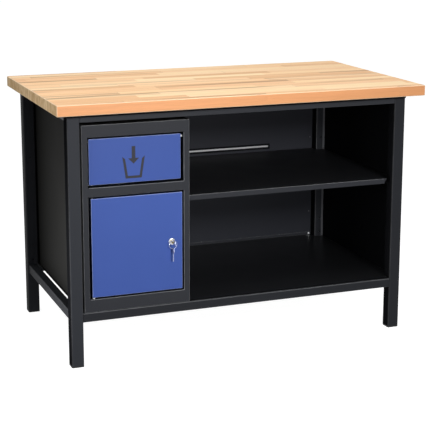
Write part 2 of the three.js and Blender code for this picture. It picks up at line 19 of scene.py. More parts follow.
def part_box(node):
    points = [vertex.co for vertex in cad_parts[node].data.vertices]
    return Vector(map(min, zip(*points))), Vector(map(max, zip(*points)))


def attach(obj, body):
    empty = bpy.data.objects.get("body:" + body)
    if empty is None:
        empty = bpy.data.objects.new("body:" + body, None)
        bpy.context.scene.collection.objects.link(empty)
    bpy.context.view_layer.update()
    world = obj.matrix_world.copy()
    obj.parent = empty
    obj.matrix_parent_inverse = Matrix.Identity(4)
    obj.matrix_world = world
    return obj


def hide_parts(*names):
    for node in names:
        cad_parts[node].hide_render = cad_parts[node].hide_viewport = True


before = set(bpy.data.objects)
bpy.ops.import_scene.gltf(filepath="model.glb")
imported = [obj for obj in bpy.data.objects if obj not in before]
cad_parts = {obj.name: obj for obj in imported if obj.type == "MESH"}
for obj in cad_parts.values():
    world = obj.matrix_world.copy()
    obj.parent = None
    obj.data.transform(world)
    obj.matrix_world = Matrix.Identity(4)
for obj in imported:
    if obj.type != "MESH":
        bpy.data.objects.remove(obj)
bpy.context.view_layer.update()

LOG = logging.getLogger("bench")
MM = 0.001
SQUARE = 0.9  # least part along an axis of a direction that runs along it
LEANING = 0.5  # least part along an axis of a normal that leans its way
BENT = 40.0  # degrees past which a bend in a sheet is rounded
SHEET_ROUND = 0.45  # share of a sheet's thickness by which its cut edges are rounded
STRIP_ROUND = 0.4  # the same share of a thin strip
ROUND_CREASE = 60.0  # degrees up to which small round pieces are shaded smooth
Colour = tuple[float, float, float]
Triple = Sequence[float]
Stations = Sequence[tuple[float, float]]


class Axis(Enum):
    """The three directions of the bench: across, from front to back, and up."""

    X = 0
    Y = 1
    Z = 2

    @property
    def unit(self) -> Vector:
        """The direction as a vector of length one."""
        return Vector([float(i == self.value) for i in range(3)])

    @property
    def turn_from_z(self) -> tuple[float, float, float]:
        """Euler angles that lay a shape built along Z in this direction."""
        return {
            Axis.X: (0.0, math.pi / 2, 0.0),
            Axis.Y: (-math.pi / 2, 0.0, 0.0),
            Axis.Z: (0.0, 0.0, 0.0),
        }[self]


class Element(Enum):
    """What a selection in edit mode is made of."""

    VERTEX = "VERT"
    EDGE = "EDGE"
    FACE = "FACE"


class Body(Enum):
    """The bodies that the pieces ride on."""

    BENCH = "bench"
    DOOR = "door"
    LOCK = "lock"
    RING = "ring"
    SPARE = "spare"
    FLAP = "flap"


class Slot(Enum):
    """The material slots of the bench's record."""

    BEECH = "beech"
    BLACK = "black_enamel"
    BLUE = "blue_enamel"
    FOOT = "foot_plastic"
    ZINC = "zinc"
    BIN = "galvanised_bin"
    NYLON = "nylon"
    CHROME = "chrome"
    KEY = "key_steel"
    BRASS = "brass"


class Value:
    """One socket of a node graph. Plain arithmetic on it adds Math nodes."""

    def __init__(self, graph: "Graph", socket: bpy.types.NodeSocket) -> None:
        """Keeps the graph with the socket."""
        self.graph = graph
        self.socket = socket

    def _math(self, operation: str, *terms: Any) -> "Value":
        """Adds one Math node with these terms."""
        return self.graph.node("ShaderNodeMath", {"operation": operation}, dict(enumerate(terms)))

    def __add__(self, other: Any) -> "Value":
        """Sum."""
        return self._math("ADD", self, other)

    def __radd__(self, other: Any) -> "Value":
        """Sum, with a number first."""
        return self._math("ADD", other, self)

    def __sub__(self, other: Any) -> "Value":
        """Difference."""
        return self._math("SUBTRACT", self, other)

    def __rsub__(self, other: Any) -> "Value":
        """Difference, with a number first."""
        return self._math("SUBTRACT", other, self)

    def __mul__(self, other: Any) -> "Value":
        """Product."""
        return self._math("MULTIPLY", self, other)

    def __rmul__(self, other: Any) -> "Value":
        """Product, with a number first."""
        return self._math("MULTIPLY", other, self)

    def __truediv__(self, other: Any) -> "Value":
        """Quotient."""
        return self._math("DIVIDE", self, other)

    def floor(self) -> "Value":
        """The whole number below."""
        return self._math("FLOOR", self)

    def fraction(self) -> "Value":
        """What is left over the whole number below."""
        return self._math("FRACT", self)

    def size(self) -> "Value":
        """The value without its sign."""
        return self._math("ABSOLUTE", self)

    def wave(self) -> "Value":
        """Sine of the value."""
        return self._math("SINE", self)

    def larger(self, other: Any) -> "Value":
        """The larger of two values."""
        return self._math("MAXIMUM", self, other)

    def smaller(self, other: Any) -> "Value":
        """The smaller of two values."""
        return self._math("MINIMUM", self, other)

    def eased(self, low: float, high: float) -> "Value":
        """Rises smoothly from 0 at low to 1 at high."""
        return self.graph.node(
            "ShaderNodeMapRange",
            {"interpolation_type": "SMOOTHSTEP"},
            {"Value": self, "From Min": low, "From Max": high},
        )


class Graph:
    """The node graph of one material or of the world."""

    COLOUR_MIX = {"factor": 0, "a": 6, "b": 7, "result": 2}

    def __init__(self, tree: bpy.types.NodeTree) -> None:
        """Empties the tree."""
        self.tree = tree
        self.tree.nodes.clear()

    def node(self, kind: str, settings: Mapping[str, Any] | None = None,
             inputs: Mapping[Any, Any] | None = None, output: Any = 0) -> Value:
        """Adds a node.

        Args:
            kind: Blender's name of the node type.
            settings: Properties of the node, which are set first. The stops of a ramp are pairs of
                place and colour.
            inputs: A value or a plain number for each named or numbered socket.
            output: Name or number of the socket that is returned.

        Returns:
            The output socket.
        """
        node = self.tree.nodes.new(kind)
        for name, setting in (settings or {}).items():
            if name == "stops":
                self._set_stops(node.color_ramp.elements, setting)
            else:
                setattr(node, name, setting)
        for name, given in (inputs or {}).items():
            if isinstance(given, Value):
                self.tree.links.new(given.socket, node.inputs[name])
            else:
                node.inputs[name].default_value = given
        return Value(self, node.outputs[output])

    @staticmethod
    def _set_stops(elements: Any, stops: Sequence[tuple[float, Colour]]) -> None:
        """Gives a ramp its places and colours."""
        while len(elements) < len(stops):
            elements.new(0.5)
        for element, (place, colour) in zip(elements, stops):
            element.position = place
            element.color = (*colour, 1.0)

    def place(self) -> Value:
        """The place on the piece, in metres of the bench's frame."""
        return self.node("ShaderNodeTexCoord", output="Object")

    def facing(self) -> tuple[Value, Value, Value]:
        """The three parts of the surface's own direction."""
        return self.split(self.node("ShaderNodeTexCoord", output="Normal"))

    def folds(self) -> Value:
        """1 on rounded edges and folds, 0 on the flat faces beside them."""
        x, y, z = (part.size() for part in self.facing())
        return (1.0 - x.larger(y).larger(z)).eased(0.006, 0.06)

    def split(self, vector: Value) -> tuple[Value, Value, Value]:
        """The three parts of a vector."""
        first = self.node("ShaderNodeSeparateXYZ", inputs={0: vector})
        return tuple(Value(self, socket) for socket in first.socket.node.outputs)

    def joined(self, x: Any, y: Any, z: Any) -> Value:
        """A vector from three parts."""
        return self.node("ShaderNodeCombineXYZ", inputs={0: x, 1: y, 2: z})

    def grey(self, amount: Value) -> Value:
        """A grey with an amount of each colour."""
        return self.joined(amount, amount, amount)

    def noise(self, place: Value, scale: Triple, detail: float = 2.0, roughness: float = 0.5) -> Value:
        """Smooth noise with so many waves a metre in each direction."""
        stretched = self.node("ShaderNodeMapping", inputs={"Vector": place, "Scale": tuple(scale)})
        return self.node("ShaderNodeTexNoise", inputs={
            "Vector": stretched, "Scale": 1.0, "Detail": detail, "Roughness": roughness})

    def chance(self, cell: Value) -> Value:
        """A fixed chance number from 0 to 1 for a cell."""
        return self.node("ShaderNodeTexWhiteNoise", {"noise_dimensions": "3D"}, {"Vector": cell})

    def ramp(self, factor: Value, stops: Sequence[tuple[float, Colour]]) -> Value:
        """A colour picked from a row of colours."""
        return self.node("ShaderNodeValToRGB", {"stops": stops}, {"Fac": factor})

    def mix(self, factor: Any, a: Any, b: Any, blend: str = "MIX") -> Value:
        """Mixes two colours."""
        at = self.COLOUR_MIX
        colours = [c if isinstance(c, Value) else (*c, 1.0) for c in (a, b)]
        return self.node("ShaderNodeMix", {"data_type": "RGBA", "blend_type": blend},
                         {at["factor"]: factor, at["a"]: colours[0], at["b"]: colours[1]}, at["result"])

    def shaded(self, colour: Any, amount: Value) -> Value:
        """A colour made lighter or darker by an amount near 1."""
        return self.mix(1.0, colour, self.grey(amount), "MULTIPLY")

    def bump(self, height: Value, distance: float) -> Value:
        """A bent normal from a height between 0 and 1, with so many metres between them."""
        return self.node("ShaderNodeBump", inputs={
            "Height": height, "Distance": distance, "Strength": 1.0})

    def finish(self, kind: str, shader: Value) -> None:
        """Links the shader to the output node."""
        output = self.tree.nodes.new(kind)
        self.tree.links.new(shader.socket, output.inputs["Surface"])


@dataclass(frozen=True)
class Finish:
    """A surface finish. Its material is made once."""

    name: str

    def paint(self, graph: Graph) -> Value:
        """Makes the shader of this finish."""
        raise NotImplementedError

    def material(self) -> bpy.types.Material:
        """The finish as a Blender material."""
        found = bpy.data.materials.get(self.name)
        if found:
            return found
        made = bpy.data.materials.new(self.name)
        made.use_nodes = True
        graph = Graph(made.node_tree)
        graph.finish("ShaderNodeOutputMaterial", self.paint(graph))
        return made


@dataclass(frozen=True)
class Enamel(Finish):
    """Baked powder coat with fine orange peel and a faintly cloudy gloss.

    Its folds get a paler tone, which is a painted highlight.
    """

    colour: Colour = (0.02, 0.02, 0.02)
    # The colour of the painted highlight on folds, and how much of it is mixed in.
    edge: Colour = (0.22, 0.225, 0.235)
    edge_highlight: float = 0.12
    roughness: float = 0.4
    cloud_waves: float = 7.0
    clouding: float = 0.10
    dust_waves: float = 1400.0
    dusting: float = 0.12
    highlight_noise_waves: float = 45.0
    peel_waves: float = 330.0
    peel_height: float = 0.03 * MM
    specular: float = 0.5

    def paint(self, graph: Graph) -> Value:
        """Makes the shader: the peel bends the light, clouds shift tone and gloss, and folds get a painted
        highlight.
        """
        place = graph.place()
        peel = graph.noise(place, [self.peel_waves] * 3, 2.0)
        cloud = graph.noise(place, [self.cloud_waves] * 3, 3.0)
        dust = graph.noise(place, [self.dust_waves] * 3, 1.0)
        highlight_noise = graph.noise(place, [self.highlight_noise_waves] * 3, 3.0)
        tone = 1.0 + (cloud - 0.5) * self.clouding + (dust - 0.5) * self.dusting
        # Painted highlight: folds are mixed towards the edge colour, broken up by noise, and made a little
        # glossier.
        highlight = graph.folds() * (0.75 + (highlight_noise - 0.5) * 0.9) * self.edge_highlight
        gloss = self.roughness + (cloud - 0.5) * 0.12 + (peel - 0.5) * 0.06 - highlight * 0.1
        return graph.node("ShaderNodeBsdfPrincipled", inputs={
            "Base Color": graph.mix(highlight, graph.shaded(self.colour, tone), self.edge),
            "Roughness": gloss,
            "Specular IOR Level": self.specular,
            "Normal": graph.bump(peel, self.peel_height),
        })


@dataclass(frozen=True)
class Beech(Finish):
    """Oiled beech, glued up from finger-jointed staves that run across the bench.

    Both ends show end grain.
    """

    stave_width: float = 43.5 * MM
    first_stave: float = 0.37
    stave_length: float = 470 * MM
    finger_depth: float = 7 * MM
    fingers: float = 4.0
    glue_line: float = 1.2 * MM
    ring_spacing: float = 2.6 * MM
    pale: Colour = (0.99, 0.74, 0.42)
    honey: Colour = (0.94, 0.59, 0.285)
    tan: Colour = (0.72, 0.375, 0.14)
    blush: Colour = (0.92, 0.53, 0.265)
    heart: Colour = (0.39, 0.19, 0.055)
    glue: Colour = (0.34, 0.19, 0.075)
    # Colour of the painted highlight on the eased edges.
    eased_edge_highlight: Colour = (0.98, 0.78, 0.56)
    edge: Colour = (0.745, 0.335, 0.140)
    end_light: Colour = (0.96, 0.72, 0.42)
    end_dark: Colour = (0.56, 0.32, 0.11)
    fleck: Colour = (0.48, 0.25, 0.11)

    def paint(self, graph: Graph) -> Value:
        """Makes the shader: a tone for each stave, long grain and flecks, and rings on the ends."""
        place = graph.place()
        x, y, z = graph.split(place)
        rows = y / self.stave_width + self.first_stave
        row, across = rows.floor(), rows.fraction()
        zigzag = ((across * self.fingers).fraction() - 0.5).size() * self.finger_depth
        start = graph.chance(graph.joined(row, 3.7, 0.0))
        along = (x + zigzag) / self.stave_length + start * 5.0
        cell = graph.joined(row, along.floor(), 1.0)
        tone = graph.chance(cell)
        other = graph.chance(graph.joined(row, along.floor(), 8.0))
        shifted = graph.joined(x + other * 9.0, y + tone * 3.0, z)
        streak = graph.noise(shifted, (2.2, 95.0, 95.0), 4.0, 0.6)
        fine = graph.noise(shifted, (9.0, 420.0, 420.0), 3.0, 0.6)
        flecks = graph.noise(shifted, (60.0, 1100.0, 1100.0), 1.0).eased(0.66, 0.78)
        mood = tone * 0.95 + streak * 1.1 + (fine - 0.5) * 0.35 - 0.53
        board = graph.ramp(mood, ((0.12, self.pale), (0.50, self.honey), (0.95, self.tan)))
        joint = (0.5 - (across - 0.5).size()).eased(0.0, self.glue_line / self.stave_width)
        butt = (0.5 - (along.fraction() - 0.5).size()).eased(0.0, self.glue_line / self.stave_length)
        seam = 1.0 - joint.smaller(butt)
        board = graph.mix(other * 0.45, board, self.blush)
        drift = graph.noise(shifted, (1.1, 34.0, 34.0), 3.0, 0.55)
        heart = drift.eased(0.51, 0.64) * other.eased(0.48, 0.60) * (0.6 + fine * 0.5)
        board = graph.mix(heart, board, self.heart)
        board = graph.mix(flecks * 0.35, board, self.fleck)
        board = graph.mix(seam * (0.12 + other.eased(0.45, 0.7) * 0.75), board, self.glue)
        facing_x, facing_y, _ = graph.facing()
        front = facing_y.size().eased(0.5, 0.8)
        long_edge = graph.shaded(self.edge, 0.84 + streak * 0.24 + (fine - 0.5) * 0.2 - flecks * 0.12)
        board = graph.mix(front, board, long_edge)
        rings = self._rings(graph, y, z, tone, other)
        ends = facing_x.size().eased(0.5, 0.8)
        patch = graph.noise(place, (28.0, 60.0, 28.0), 3.0).eased(0.38, 0.66)
        grain = graph.mix(rings * 0.2 + tone * 0.35 + patch * 0.45, self.end_light, self.end_dark)
        grain = graph.mix(seam * 0.7, grain, self.end_dark)
        # Painted highlight: the eased edges are mixed towards a paler colour.
        colour = graph.mix(graph.folds() * 0.55, graph.mix(ends, board, grain), self.eased_edge_highlight)
        height = streak * 0.3 + fine * 0.7 - seam * 0.8 - flecks * 0.4
        return graph.node("ShaderNodeBsdfPrincipled", inputs={
            "Base Color": colour,
            "Roughness": 0.46 + (fine - 0.5) * 0.2 + ends * 0.2,
            "Specular IOR Level": 0.35,
            "Normal": graph.bump(height, 0.12 * MM),
        })

    def _rings(self, graph: Graph, y: Value, z: Value, tone: Value, other: Value) -> Value:
        """Year rings about a chance centre for each stave, as seen on the sawn ends."""
        wander = graph.noise(graph.place(), (60.0, 60.0, 60.0), 2.0)
        side = (tone - 0.5) * 0.20
        rise = other * 0.10 + 0.88
        apart = graph.node("ShaderNodeVectorMath", {"operation": "LENGTH"},
                           {0: graph.joined(0.0, y - side, z - rise)}, "Value")
        turns = (apart + wander * 0.004) / self.ring_spacing
        return (turns * math.tau).wave() * 0.5 + 0.5


@dataclass(frozen=True)
class Metal(Finish):
    """Bare or plated metal with fine scratches and, on galvanised sheet, a crystal pattern."""

    colour: Colour = (0.7, 0.7, 0.7)
    roughness: float = 0.3
    spangle: float = 0.0
    crystal_waves: float = 95.0

    def paint(self, graph: Graph) -> Value:
        """Makes the shader: crystals change tone and gloss, scratches the gloss alone."""
        place = graph.place()
        scratch = graph.noise(place, (1800.0, 1800.0, 160.0), 2.0)
        crystal = graph.node("ShaderNodeTexVoronoi", inputs={
            "Vector": place, "Scale": self.crystal_waves}, output="Color")
        patch = graph.split(crystal)[0]
        tone = 1.0 + (patch - 0.5) * self.spangle + (scratch - 0.5) * 0.1
        return graph.node("ShaderNodeBsdfPrincipled", inputs={
            "Base Color": graph.shaded(self.colour, tone),
            "Metallic": 1.0,
            "Roughness": self.roughness + (scratch - 0.5) * 0.16 + (patch - 0.5) * self.spangle * 0.4,
            "Normal": graph.bump(scratch, 0.01 * MM),
        })


@dataclass(frozen=True)
class Moulded(Finish):
    """Moulded plastic or a printed film with a fine grain."""

    colour: Colour = (0.5, 0.5, 0.5)
    roughness: float = 0.6
    grain_waves: float = 900.0
    cloud_waves: float = 30.0
    specular: float = 0.3

    def paint(self, graph: Graph) -> Value:
        """Makes the shader: the grain roughens and slightly shades the surface."""
        place = graph.place()
        grain = graph.noise(place, [self.grain_waves] * 3, 2.0)
        cloud = graph.noise(place, [self.cloud_waves] * 3, 2.0)
        return graph.node("ShaderNodeBsdfPrincipled", inputs={
            "Base Color": graph.shaded(self.colour, 1.0 + (grain - 0.5) * 0.14 + (cloud - 0.5) * 0.1),
            "Roughness": self.roughness + (grain - 0.5) * 0.12,
            "Specular IOR Level": self.specular,
            "Normal": graph.bump(grain, 0.03 * MM),
        })


ANTHRACITE = Enamel("anthracite_enamel", colour=(0.0235, 0.0255, 0.0310), roughness=0.46, specular=0.12)
# A copy of the anthracite with a strong painted highlight on its folds.
EDGE_HIGHLIT = replace(ANTHRACITE, name="edge_highlit_enamel", colour=(0.0235, 0.0250, 0.0300), edge_highlight=0.9)
# Darker copies of the anthracite as painted shade on single tubes, one of them with a stronger painted
# highlight on its edges.
SHADED_COAT = replace(ANTHRACITE, name="shaded_enamel", colour=(0.0180, 0.0192, 0.0228), specular=0.08)
SHADED_HIGHLIT_COAT = replace(SHADED_COAT, name="shaded_highlit_enamel", edge_highlight=0.45)
# A lighter copy of the anthracite for a painted highlight on the rear right post.
HIGHLIGHT_COAT = replace(ANTHRACITE, name="highlit_enamel", colour=(0.1150, 0.1180, 0.1280))
# Near-black enamels for painted shade and painted shadow, and for the black slot cover.
DEEP_SHADE_BLACK = Enamel("deep_shade_enamel", colour=(0.0058, 0.0060, 0.0070), roughness=0.55, specular=0.0)
SHADOW_BLACK = Enamel("black_sheet_enamel", colour=(0.0060, 0.0063, 0.0075), roughness=0.55, specular=0.03)
BACK_SHEET = Enamel("back_sheet_enamel", colour=(0.0224, 0.0236, 0.0300), roughness=0.5, specular=0.12)
MATT_SHEET = Enamel("matt_sheet_enamel", colour=(0.0110, 0.0110, 0.0105), roughness=0.6, specular=0.01)
# A dull, darker copy of the anthracite as painted shade on one tube.
DULL_SHADED_COAT = Enamel("dull_shaded_enamel", colour=(0.0155, 0.0165, 0.0190), roughness=0.6, specular=0.03)
SATIN_SHEET = Enamel("satin_sheet_enamel", colour=(0.0078, 0.0082, 0.0095), roughness=0.34, specular=0.6)
# A glossier sheet for the shelf's top; its gloss is the finish, its darker colour painted shade.
SHADED_SILK_SHEET = Enamel("shaded_silk_sheet_enamel", colour=(0.0092, 0.0097, 0.0115), roughness=0.45, specular=0.22)
# The blue enamel's edge colour is a painted highlight on the folds of the door and flap.
COBALT = Enamel("blue_door_enamel", colour=(0.0435, 0.0865, 0.322), edge=(0.40, 0.47, 0.78), edge_highlight=0.8,
                roughness=0.42, specular=0.2)
COBALT_SHADE = Enamel("shaded_blue_enamel", colour=(0.0070, 0.0125, 0.0480), roughness=0.5, specular=0.05)
BEECH = Beech("beech_staves")
ZINC = Metal("zinc_plate", colour=(0.62, 0.63, 0.65), roughness=0.34)
POLISHED = Metal("polished_pin_steel", colour=(0.92, 0.92, 0.93), roughness=0.2)
SPANGLED = Metal("galvanised_sheet", colour=(0.56, 0.58, 0.60), roughness=0.42, spangle=0.16)
CHROME = Metal("chrome_plate", colour=(0.50, 0.51, 0.53), roughness=0.18)
# Nickel grey with a blue tint, which is a painted reflection of the blue door.
BLUE_REFLECTING_NICKEL = Metal("key_nickel_blue_reflection", colour=(0.36, 0.38, 0.50), roughness=0.28)
BRASS = Metal("lock_brass", colour=(0.58, 0.43, 0.17), roughness=0.30)
DARK_BRASS = Metal("dark_brass", colour=(0.20, 0.155, 0.05), roughness=0.36)
NYLON = Moulded("white_nylon", colour=(0.82, 0.84, 0.86), roughness=0.5)
# Dark nylon, used as painted shade on two bushes and as the base of the black foot plastic.
DARK_NYLON = Moulded("shade_dark_nylon", colour=(0.014, 0.014, 0.015), roughness=0.5)
FOOT_PLASTIC = replace(DARK_NYLON, name="black_foot_plastic", roughness=0.62)
SEAL = Moulded("grey_seal_plastic", colour=(0.46, 0.46, 0.48), roughness=0.5)
SIGN_FILM = Moulded("dark_sign_film", colour=(0.040, 0.041, 0.050), roughness=0.55, specular=0.1)


def deselect() -> None:
    """Leaves nothing selected in object mode."""
    bpy.ops.object.select_all(action="DESELECT")


class Piece:
    """One mesh of the bench, with the operators that shape it."""

    def __init__(self, name: str) -> None:
        """Takes over the object that an operator has just added, and puts its place into its mesh."""
        self.obj = bpy.context.object
        self.obj.name = name
        self.obj.data.name = name
        self.settle()

    @classmethod
    def box(cls, name: str, low: Triple, high: Triple) -> "Piece":
        """A block between two corners."""
        deselect()
        low, high = Vector(low), Vector(high)
        bpy.ops.mesh.primitive_cube_add(size=1.0, location=(low + high) / 2, scale=high - low)
        return cls(name)

    @classmethod
    def block(cls, name: str, middle: Triple, half: Triple) -> "Piece":
        """A block that reaches so far to both sides of a point."""
        return cls.box(name, Vector(middle) - Vector(half), Vector(middle) + Vector(half))

    @classmethod
    def bar(cls, name: str, low: Triple, high: Triple, rounding: float, segments: int = 2) -> "Piece":
        """A block between two corners with rounded edges."""
        piece = cls.box(name, low, high)
        piece.soften(rounding, segments)
        return piece

    @classmethod
    def drill(cls, axis: Axis, middle: Triple, radius: float, reach: float, sides: int) -> "Piece":
        """A round cutter that reaches so far to both sides of a point."""
        return cls.turned("drill", axis, middle, ((-reach, radius), (reach, radius)), sides)

    @classmethod
    def sheet(cls, name: str, low: Triple, high: Triple) -> "Piece":
        """A flat rectangle between two corners that share one place on X, Y or Z."""
        deselect()
        low, high = Vector(low), Vector(high)
        span = high - low
        flat = min(Axis, key=lambda axis: abs(span[axis.value]))
        scale = {
            Axis.X: (span.z, span.y, 1.0),
            Axis.Y: (span.x, span.z, 1.0),
            Axis.Z: (span.x, span.y, 1.0),
        }[flat]
        bpy.ops.mesh.primitive_plane_add(size=1.0, location=(low + high) / 2, rotation=flat.turn_from_z)
        bpy.context.object.scale = scale
        return cls(name)

    @classmethod
    def turned(cls, name: str, axis: Axis, centre: Triple, stations: Stations, sides: int = 40,
               bored: bool = False) -> "Piece":
        """A round piece, drawn out ring by ring.

        Args:
            name: Name of the piece.
            axis: Direction of its axis.
            centre: Point on the axis from which the stations are counted.
            stations: Place along the axis and radius of each ring.
            sides: Number of sides of a ring.
            bored: Whether the last ring meets the first, as round a bore, or else both are closed.

        Returns:
            The piece.
        """
        deselect()
        place, radius = stations[0]
        bpy.ops.mesh.primitive_circle_add(vertices=sides, radius=radius, location=(0, 0, place))
        piece = cls(name)
        with piece.editing():
            bpy.ops.mesh.select_all(action="SELECT")
            for (from_place, from_radius), (to_place, to_radius) in pairwise(stations):
                piece.draw_edges((0, 0, to_place - from_place))
                ratio = to_radius / from_radius
                piece.scale((ratio, ratio, 1.0), (0, 0, to_place))
            piece.select_rim()
            if bored:
                bpy.ops.mesh.bridge_edge_loops()
            else:
                bpy.ops.mesh.fill_holes(sides=0)
            piece.face_out()
        piece.obj.rotation_euler = axis.turn_from_z
        piece.obj.location = centre
        piece.settle()
        return piece

    @classmethod
    def from_node(cls, node: str) -> "Piece":
        """A copy of a CAD node, with its triangles merged into flat faces."""
        deselect()
        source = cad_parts[node]
        copy = bpy.data.objects.new(f"look_{node}", source.data.copy())
        copy.data.materials.clear()
        bpy.context.scene.collection.objects.link(copy)
        bpy.context.view_layer.objects.active = copy
        copy.select_set(True)
        piece = cls(f"look_{node}")
        with piece.editing():
            bpy.ops.mesh.select_all(action="SELECT")
            bpy.ops.mesh.remove_doubles(threshold=0.002 * MM)
            bpy.ops.mesh.dissolve_limited(angle_limit=math.radians(1.0))
        return piece

    def activate(self) -> None:
        """Makes this the one selected and active object."""
        deselect()
        self.obj.select_set(True)
        bpy.context.view_layer.objects.active = self.obj

    def settle(self) -> None:
        """Moves the object's place, turn and scale into its mesh."""
        self.activate()
        bpy.ops.object.transform_apply(location=True, rotation=True, scale=True)

    @contextmanager
    def editing(self) -> Iterator[None]:
        """Edit mode on this piece."""
        self.activate()
        bpy.ops.object.mode_set(mode="EDIT")
        yield
        bpy.ops.object.mode_set(mode="OBJECT")

    def select(self, kind: Element, test: Callable[[Any], bool]) -> None:
        """Selects the vertices, edges or faces that pass a test, and nothing else."""
        bpy.ops.mesh.select_mode(type=kind.value)
        bpy.ops.mesh.select_all(action="DESELECT")
        mesh = bmesh.from_edit_mesh(self.obj.data)
        mesh.normal_update()
        rows = {Element.VERTEX: mesh.verts, Element.EDGE: mesh.edges, Element.FACE: mesh.faces}[kind]
        for element in [row for row in rows if test(row)]:
            element.select_set(True)
        mesh.select_flush_mode()
        bmesh.update_edit_mesh(self.obj.data)

    def select_edges_at(self, **places: float) -> None:
        """Selects the edges with both ends at given places on x, y or z."""
        self.select(Element.EDGE, lambda edge: all(lies_at(v.co, places) for v in edge.verts))

    def select_rim(self) -> None:
        """Selects the open edges."""
        self.select(Element.EDGE, lambda edge: edge.is_boundary)

    def cut(self, axis: Axis, *places: float) -> None:
        """Cuts new edges across the mesh at places on an axis."""
        for place in places:
            bpy.ops.mesh.select_all(action="SELECT")
            bpy.ops.mesh.bisect(plane_co=axis.unit * place, plane_no=axis.unit)

    def draw_edges(self, step: Triple) -> None:
        """Extrudes the selected edges by a step."""
        bpy.ops.mesh.extrude_edges_move(TRANSFORM_OT_translate={"value": tuple(step)})

    def draw_faces(self, step: Triple) -> None:
        """Extrudes the selected faces by a step."""
        bpy.ops.mesh.extrude_region_move(TRANSFORM_OT_translate={"value": tuple(step)})

    def scale(self, ratios: Triple, about: Triple) -> None:
        """Scales the selection about a point."""
        bpy.ops.transform.resize(value=tuple(ratios), center_override=tuple(about))

    def round_edges(self, radius: float, segments: int = 4, corners: bool = False) -> None:
        """Rounds the selected edges, or the selected corners of a flat outline."""
        bpy.ops.mesh.bevel(offset=radius, segments=segments, affect="VERTICES" if corners else "EDGES")

    def delete_faces(self) -> None:
        """Deletes the selected faces."""
        bpy.ops.mesh.delete(type="FACE")

    def delete_where(self, test: Callable[[Any], bool]) -> None:
        """Deletes the faces that pass a test."""
        self.select(Element.FACE, test)
        self.delete_faces()

    def delete_between(self, low: Triple, high: Triple) -> None:
        """Deletes the faces whose middle lies between two corners."""
        self.delete_where(lambda face: all(
            a <= c <= b for a, c, b in zip(low, face.calc_center_median(), high)))

    def face_out(self, towards: Triple | None = None) -> None:
        """Makes the faces agree, and the largest one look in a given direction if there is one."""
        bpy.ops.mesh.select_all(action="SELECT")
        bpy.ops.mesh.normals_make_consistent(inside=False)
        if towards is None:
            return
        mesh = bmesh.from_edit_mesh(self.obj.data)
        mesh.normal_update()
        largest = max(mesh.faces, key=lambda face: face.calc_area())
        if largest.normal.dot(Vector(towards)) < 0:
            bpy.ops.mesh.flip_normals()

    def modify(self, kind: str, **settings: Any) -> None:
        """Adds a modifier, sets it and applies it."""
        self.activate()
        bpy.ops.object.modifier_add(type=kind)
        modifier = self.obj.modifiers[-1]
        for name, setting in settings.items():
            setattr(modifier, name, setting)
        bpy.ops.object.modifier_apply(modifier=modifier.name)

    def soften(self, width: float, segments: int, angle: float = 30.0) -> None:
        """Rounds every edge that is sharper than an angle."""
        self.modify("BEVEL", width=width, segments=segments, limit_method="ANGLE",
                    angle_limit=math.radians(angle), use_clamp_overlap=True, miter_outer="MITER_ARC")

    def thicken(self, wall: float) -> None:
        """Gives a bent sheet its thickness, behind the side that its faces look to."""
        self.modify("SOLIDIFY", thickness=wall, offset=-1.0, use_even_offset=True, use_quality_normals=True)

    def bend(self, radius: float, segments: int, wall: float) -> None:
        """Rounds the bends of a sheet and gives it its thickness."""
        self.soften(radius, segments, BENT)
        self.thicken(wall)

    def carve(self, *tools: "Piece") -> None:
        """Cuts the tools' shapes out of this piece and removes the tools."""
        self._combine("DIFFERENCE", tools)

    def weld(self, *others: "Piece") -> None:
        """Merges the shapes of other pieces into this one and removes them."""
        self._combine("UNION", others)

    def _combine(self, operation: str, others: Sequence["Piece"]) -> None:
        """Applies one boolean for each of the other pieces, which are used up."""
        for other in others:
            self.modify("BOOLEAN", operation=operation, object=other.obj, solver="EXACT")
            bpy.data.objects.remove(other.obj)

    def absorb(self, *others: "Piece") -> None:
        """Joins other pieces to this one."""
        self.activate()
        for other in others:
            other.obj.select_set(True)
        bpy.ops.object.join()

    def copied(self, step: Triple, name: str) -> "Piece":
        """A copy with a mesh of its own, moved by a step."""
        self.activate()
        bpy.ops.object.duplicate()
        bpy.ops.transform.translate(value=tuple(step))
        return Piece(name)

    def tint(self, finish: Finish, test: Callable[[Any], bool]) -> None:
        """Gives the faces that pass a test a finish of their own."""
        self.obj.data.materials.append(finish.material())
        with self.editing():
            self.select(Element.FACE, test)
            self.obj.active_material_index = len(self.obj.data.materials) - 1
            bpy.ops.object.material_slot_assign()

    def dress(self, finish: Finish, *nodes: str, body: Body = Body.BENCH, slot: Slot = Slot.BLACK,
              crease: float = 32.0) -> None:
        """Gives the piece its finish, and says what it rides on and stands for.

        Args:
            finish: The surface finish.
            nodes: The CAD nodes that it stands for.
            body: The body that it moves with.
            slot: The record's material slot; not used.
            crease: Edges bent less than this many degrees are shaded smooth.
        """
        self.activate()
        bpy.ops.object.shade_smooth_by_angle(angle=math.radians(crease))
        self.modify("WEIGHTED_NORMAL", mode="FACE_AREA", weight=100, keep_sharp=True)
        self.obj.data.materials.clear()
        self.obj.data.materials.append(finish.material())
        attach(self.obj, body.value)
        if nodes:
            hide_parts(*nodes)
        LOG.info("%s rides on %s, %d faces", self.obj.name, body.value, len(self.obj.data.polygons))


def lies_at(point: Vector, places: Mapping[str, float], slack: float = 0.02 * MM) -> bool:
    """Whether a point has the given places on x, y or z."""
    return all(abs(getattr(point, name) - place) < slack for name, place in places.items())


def chamfered(start: float, stop: float, radius: float, chamfer: float) -> Stations:
    """The rings of a plain round bar with chamfered ends."""
    return ((start, radius - chamfer), (start + chamfer, radius),
            (stop - chamfer, radius), (stop, radius - chamfer))


def round_size(node: str, axis: Axis) -> tuple[float, float]:
    """The largest radius and the length of a round node along an axis."""
    low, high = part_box(node)
    span = high - low
    return max(span[other.value] for other in Axis if other is not axis) / 2, span[axis.value]


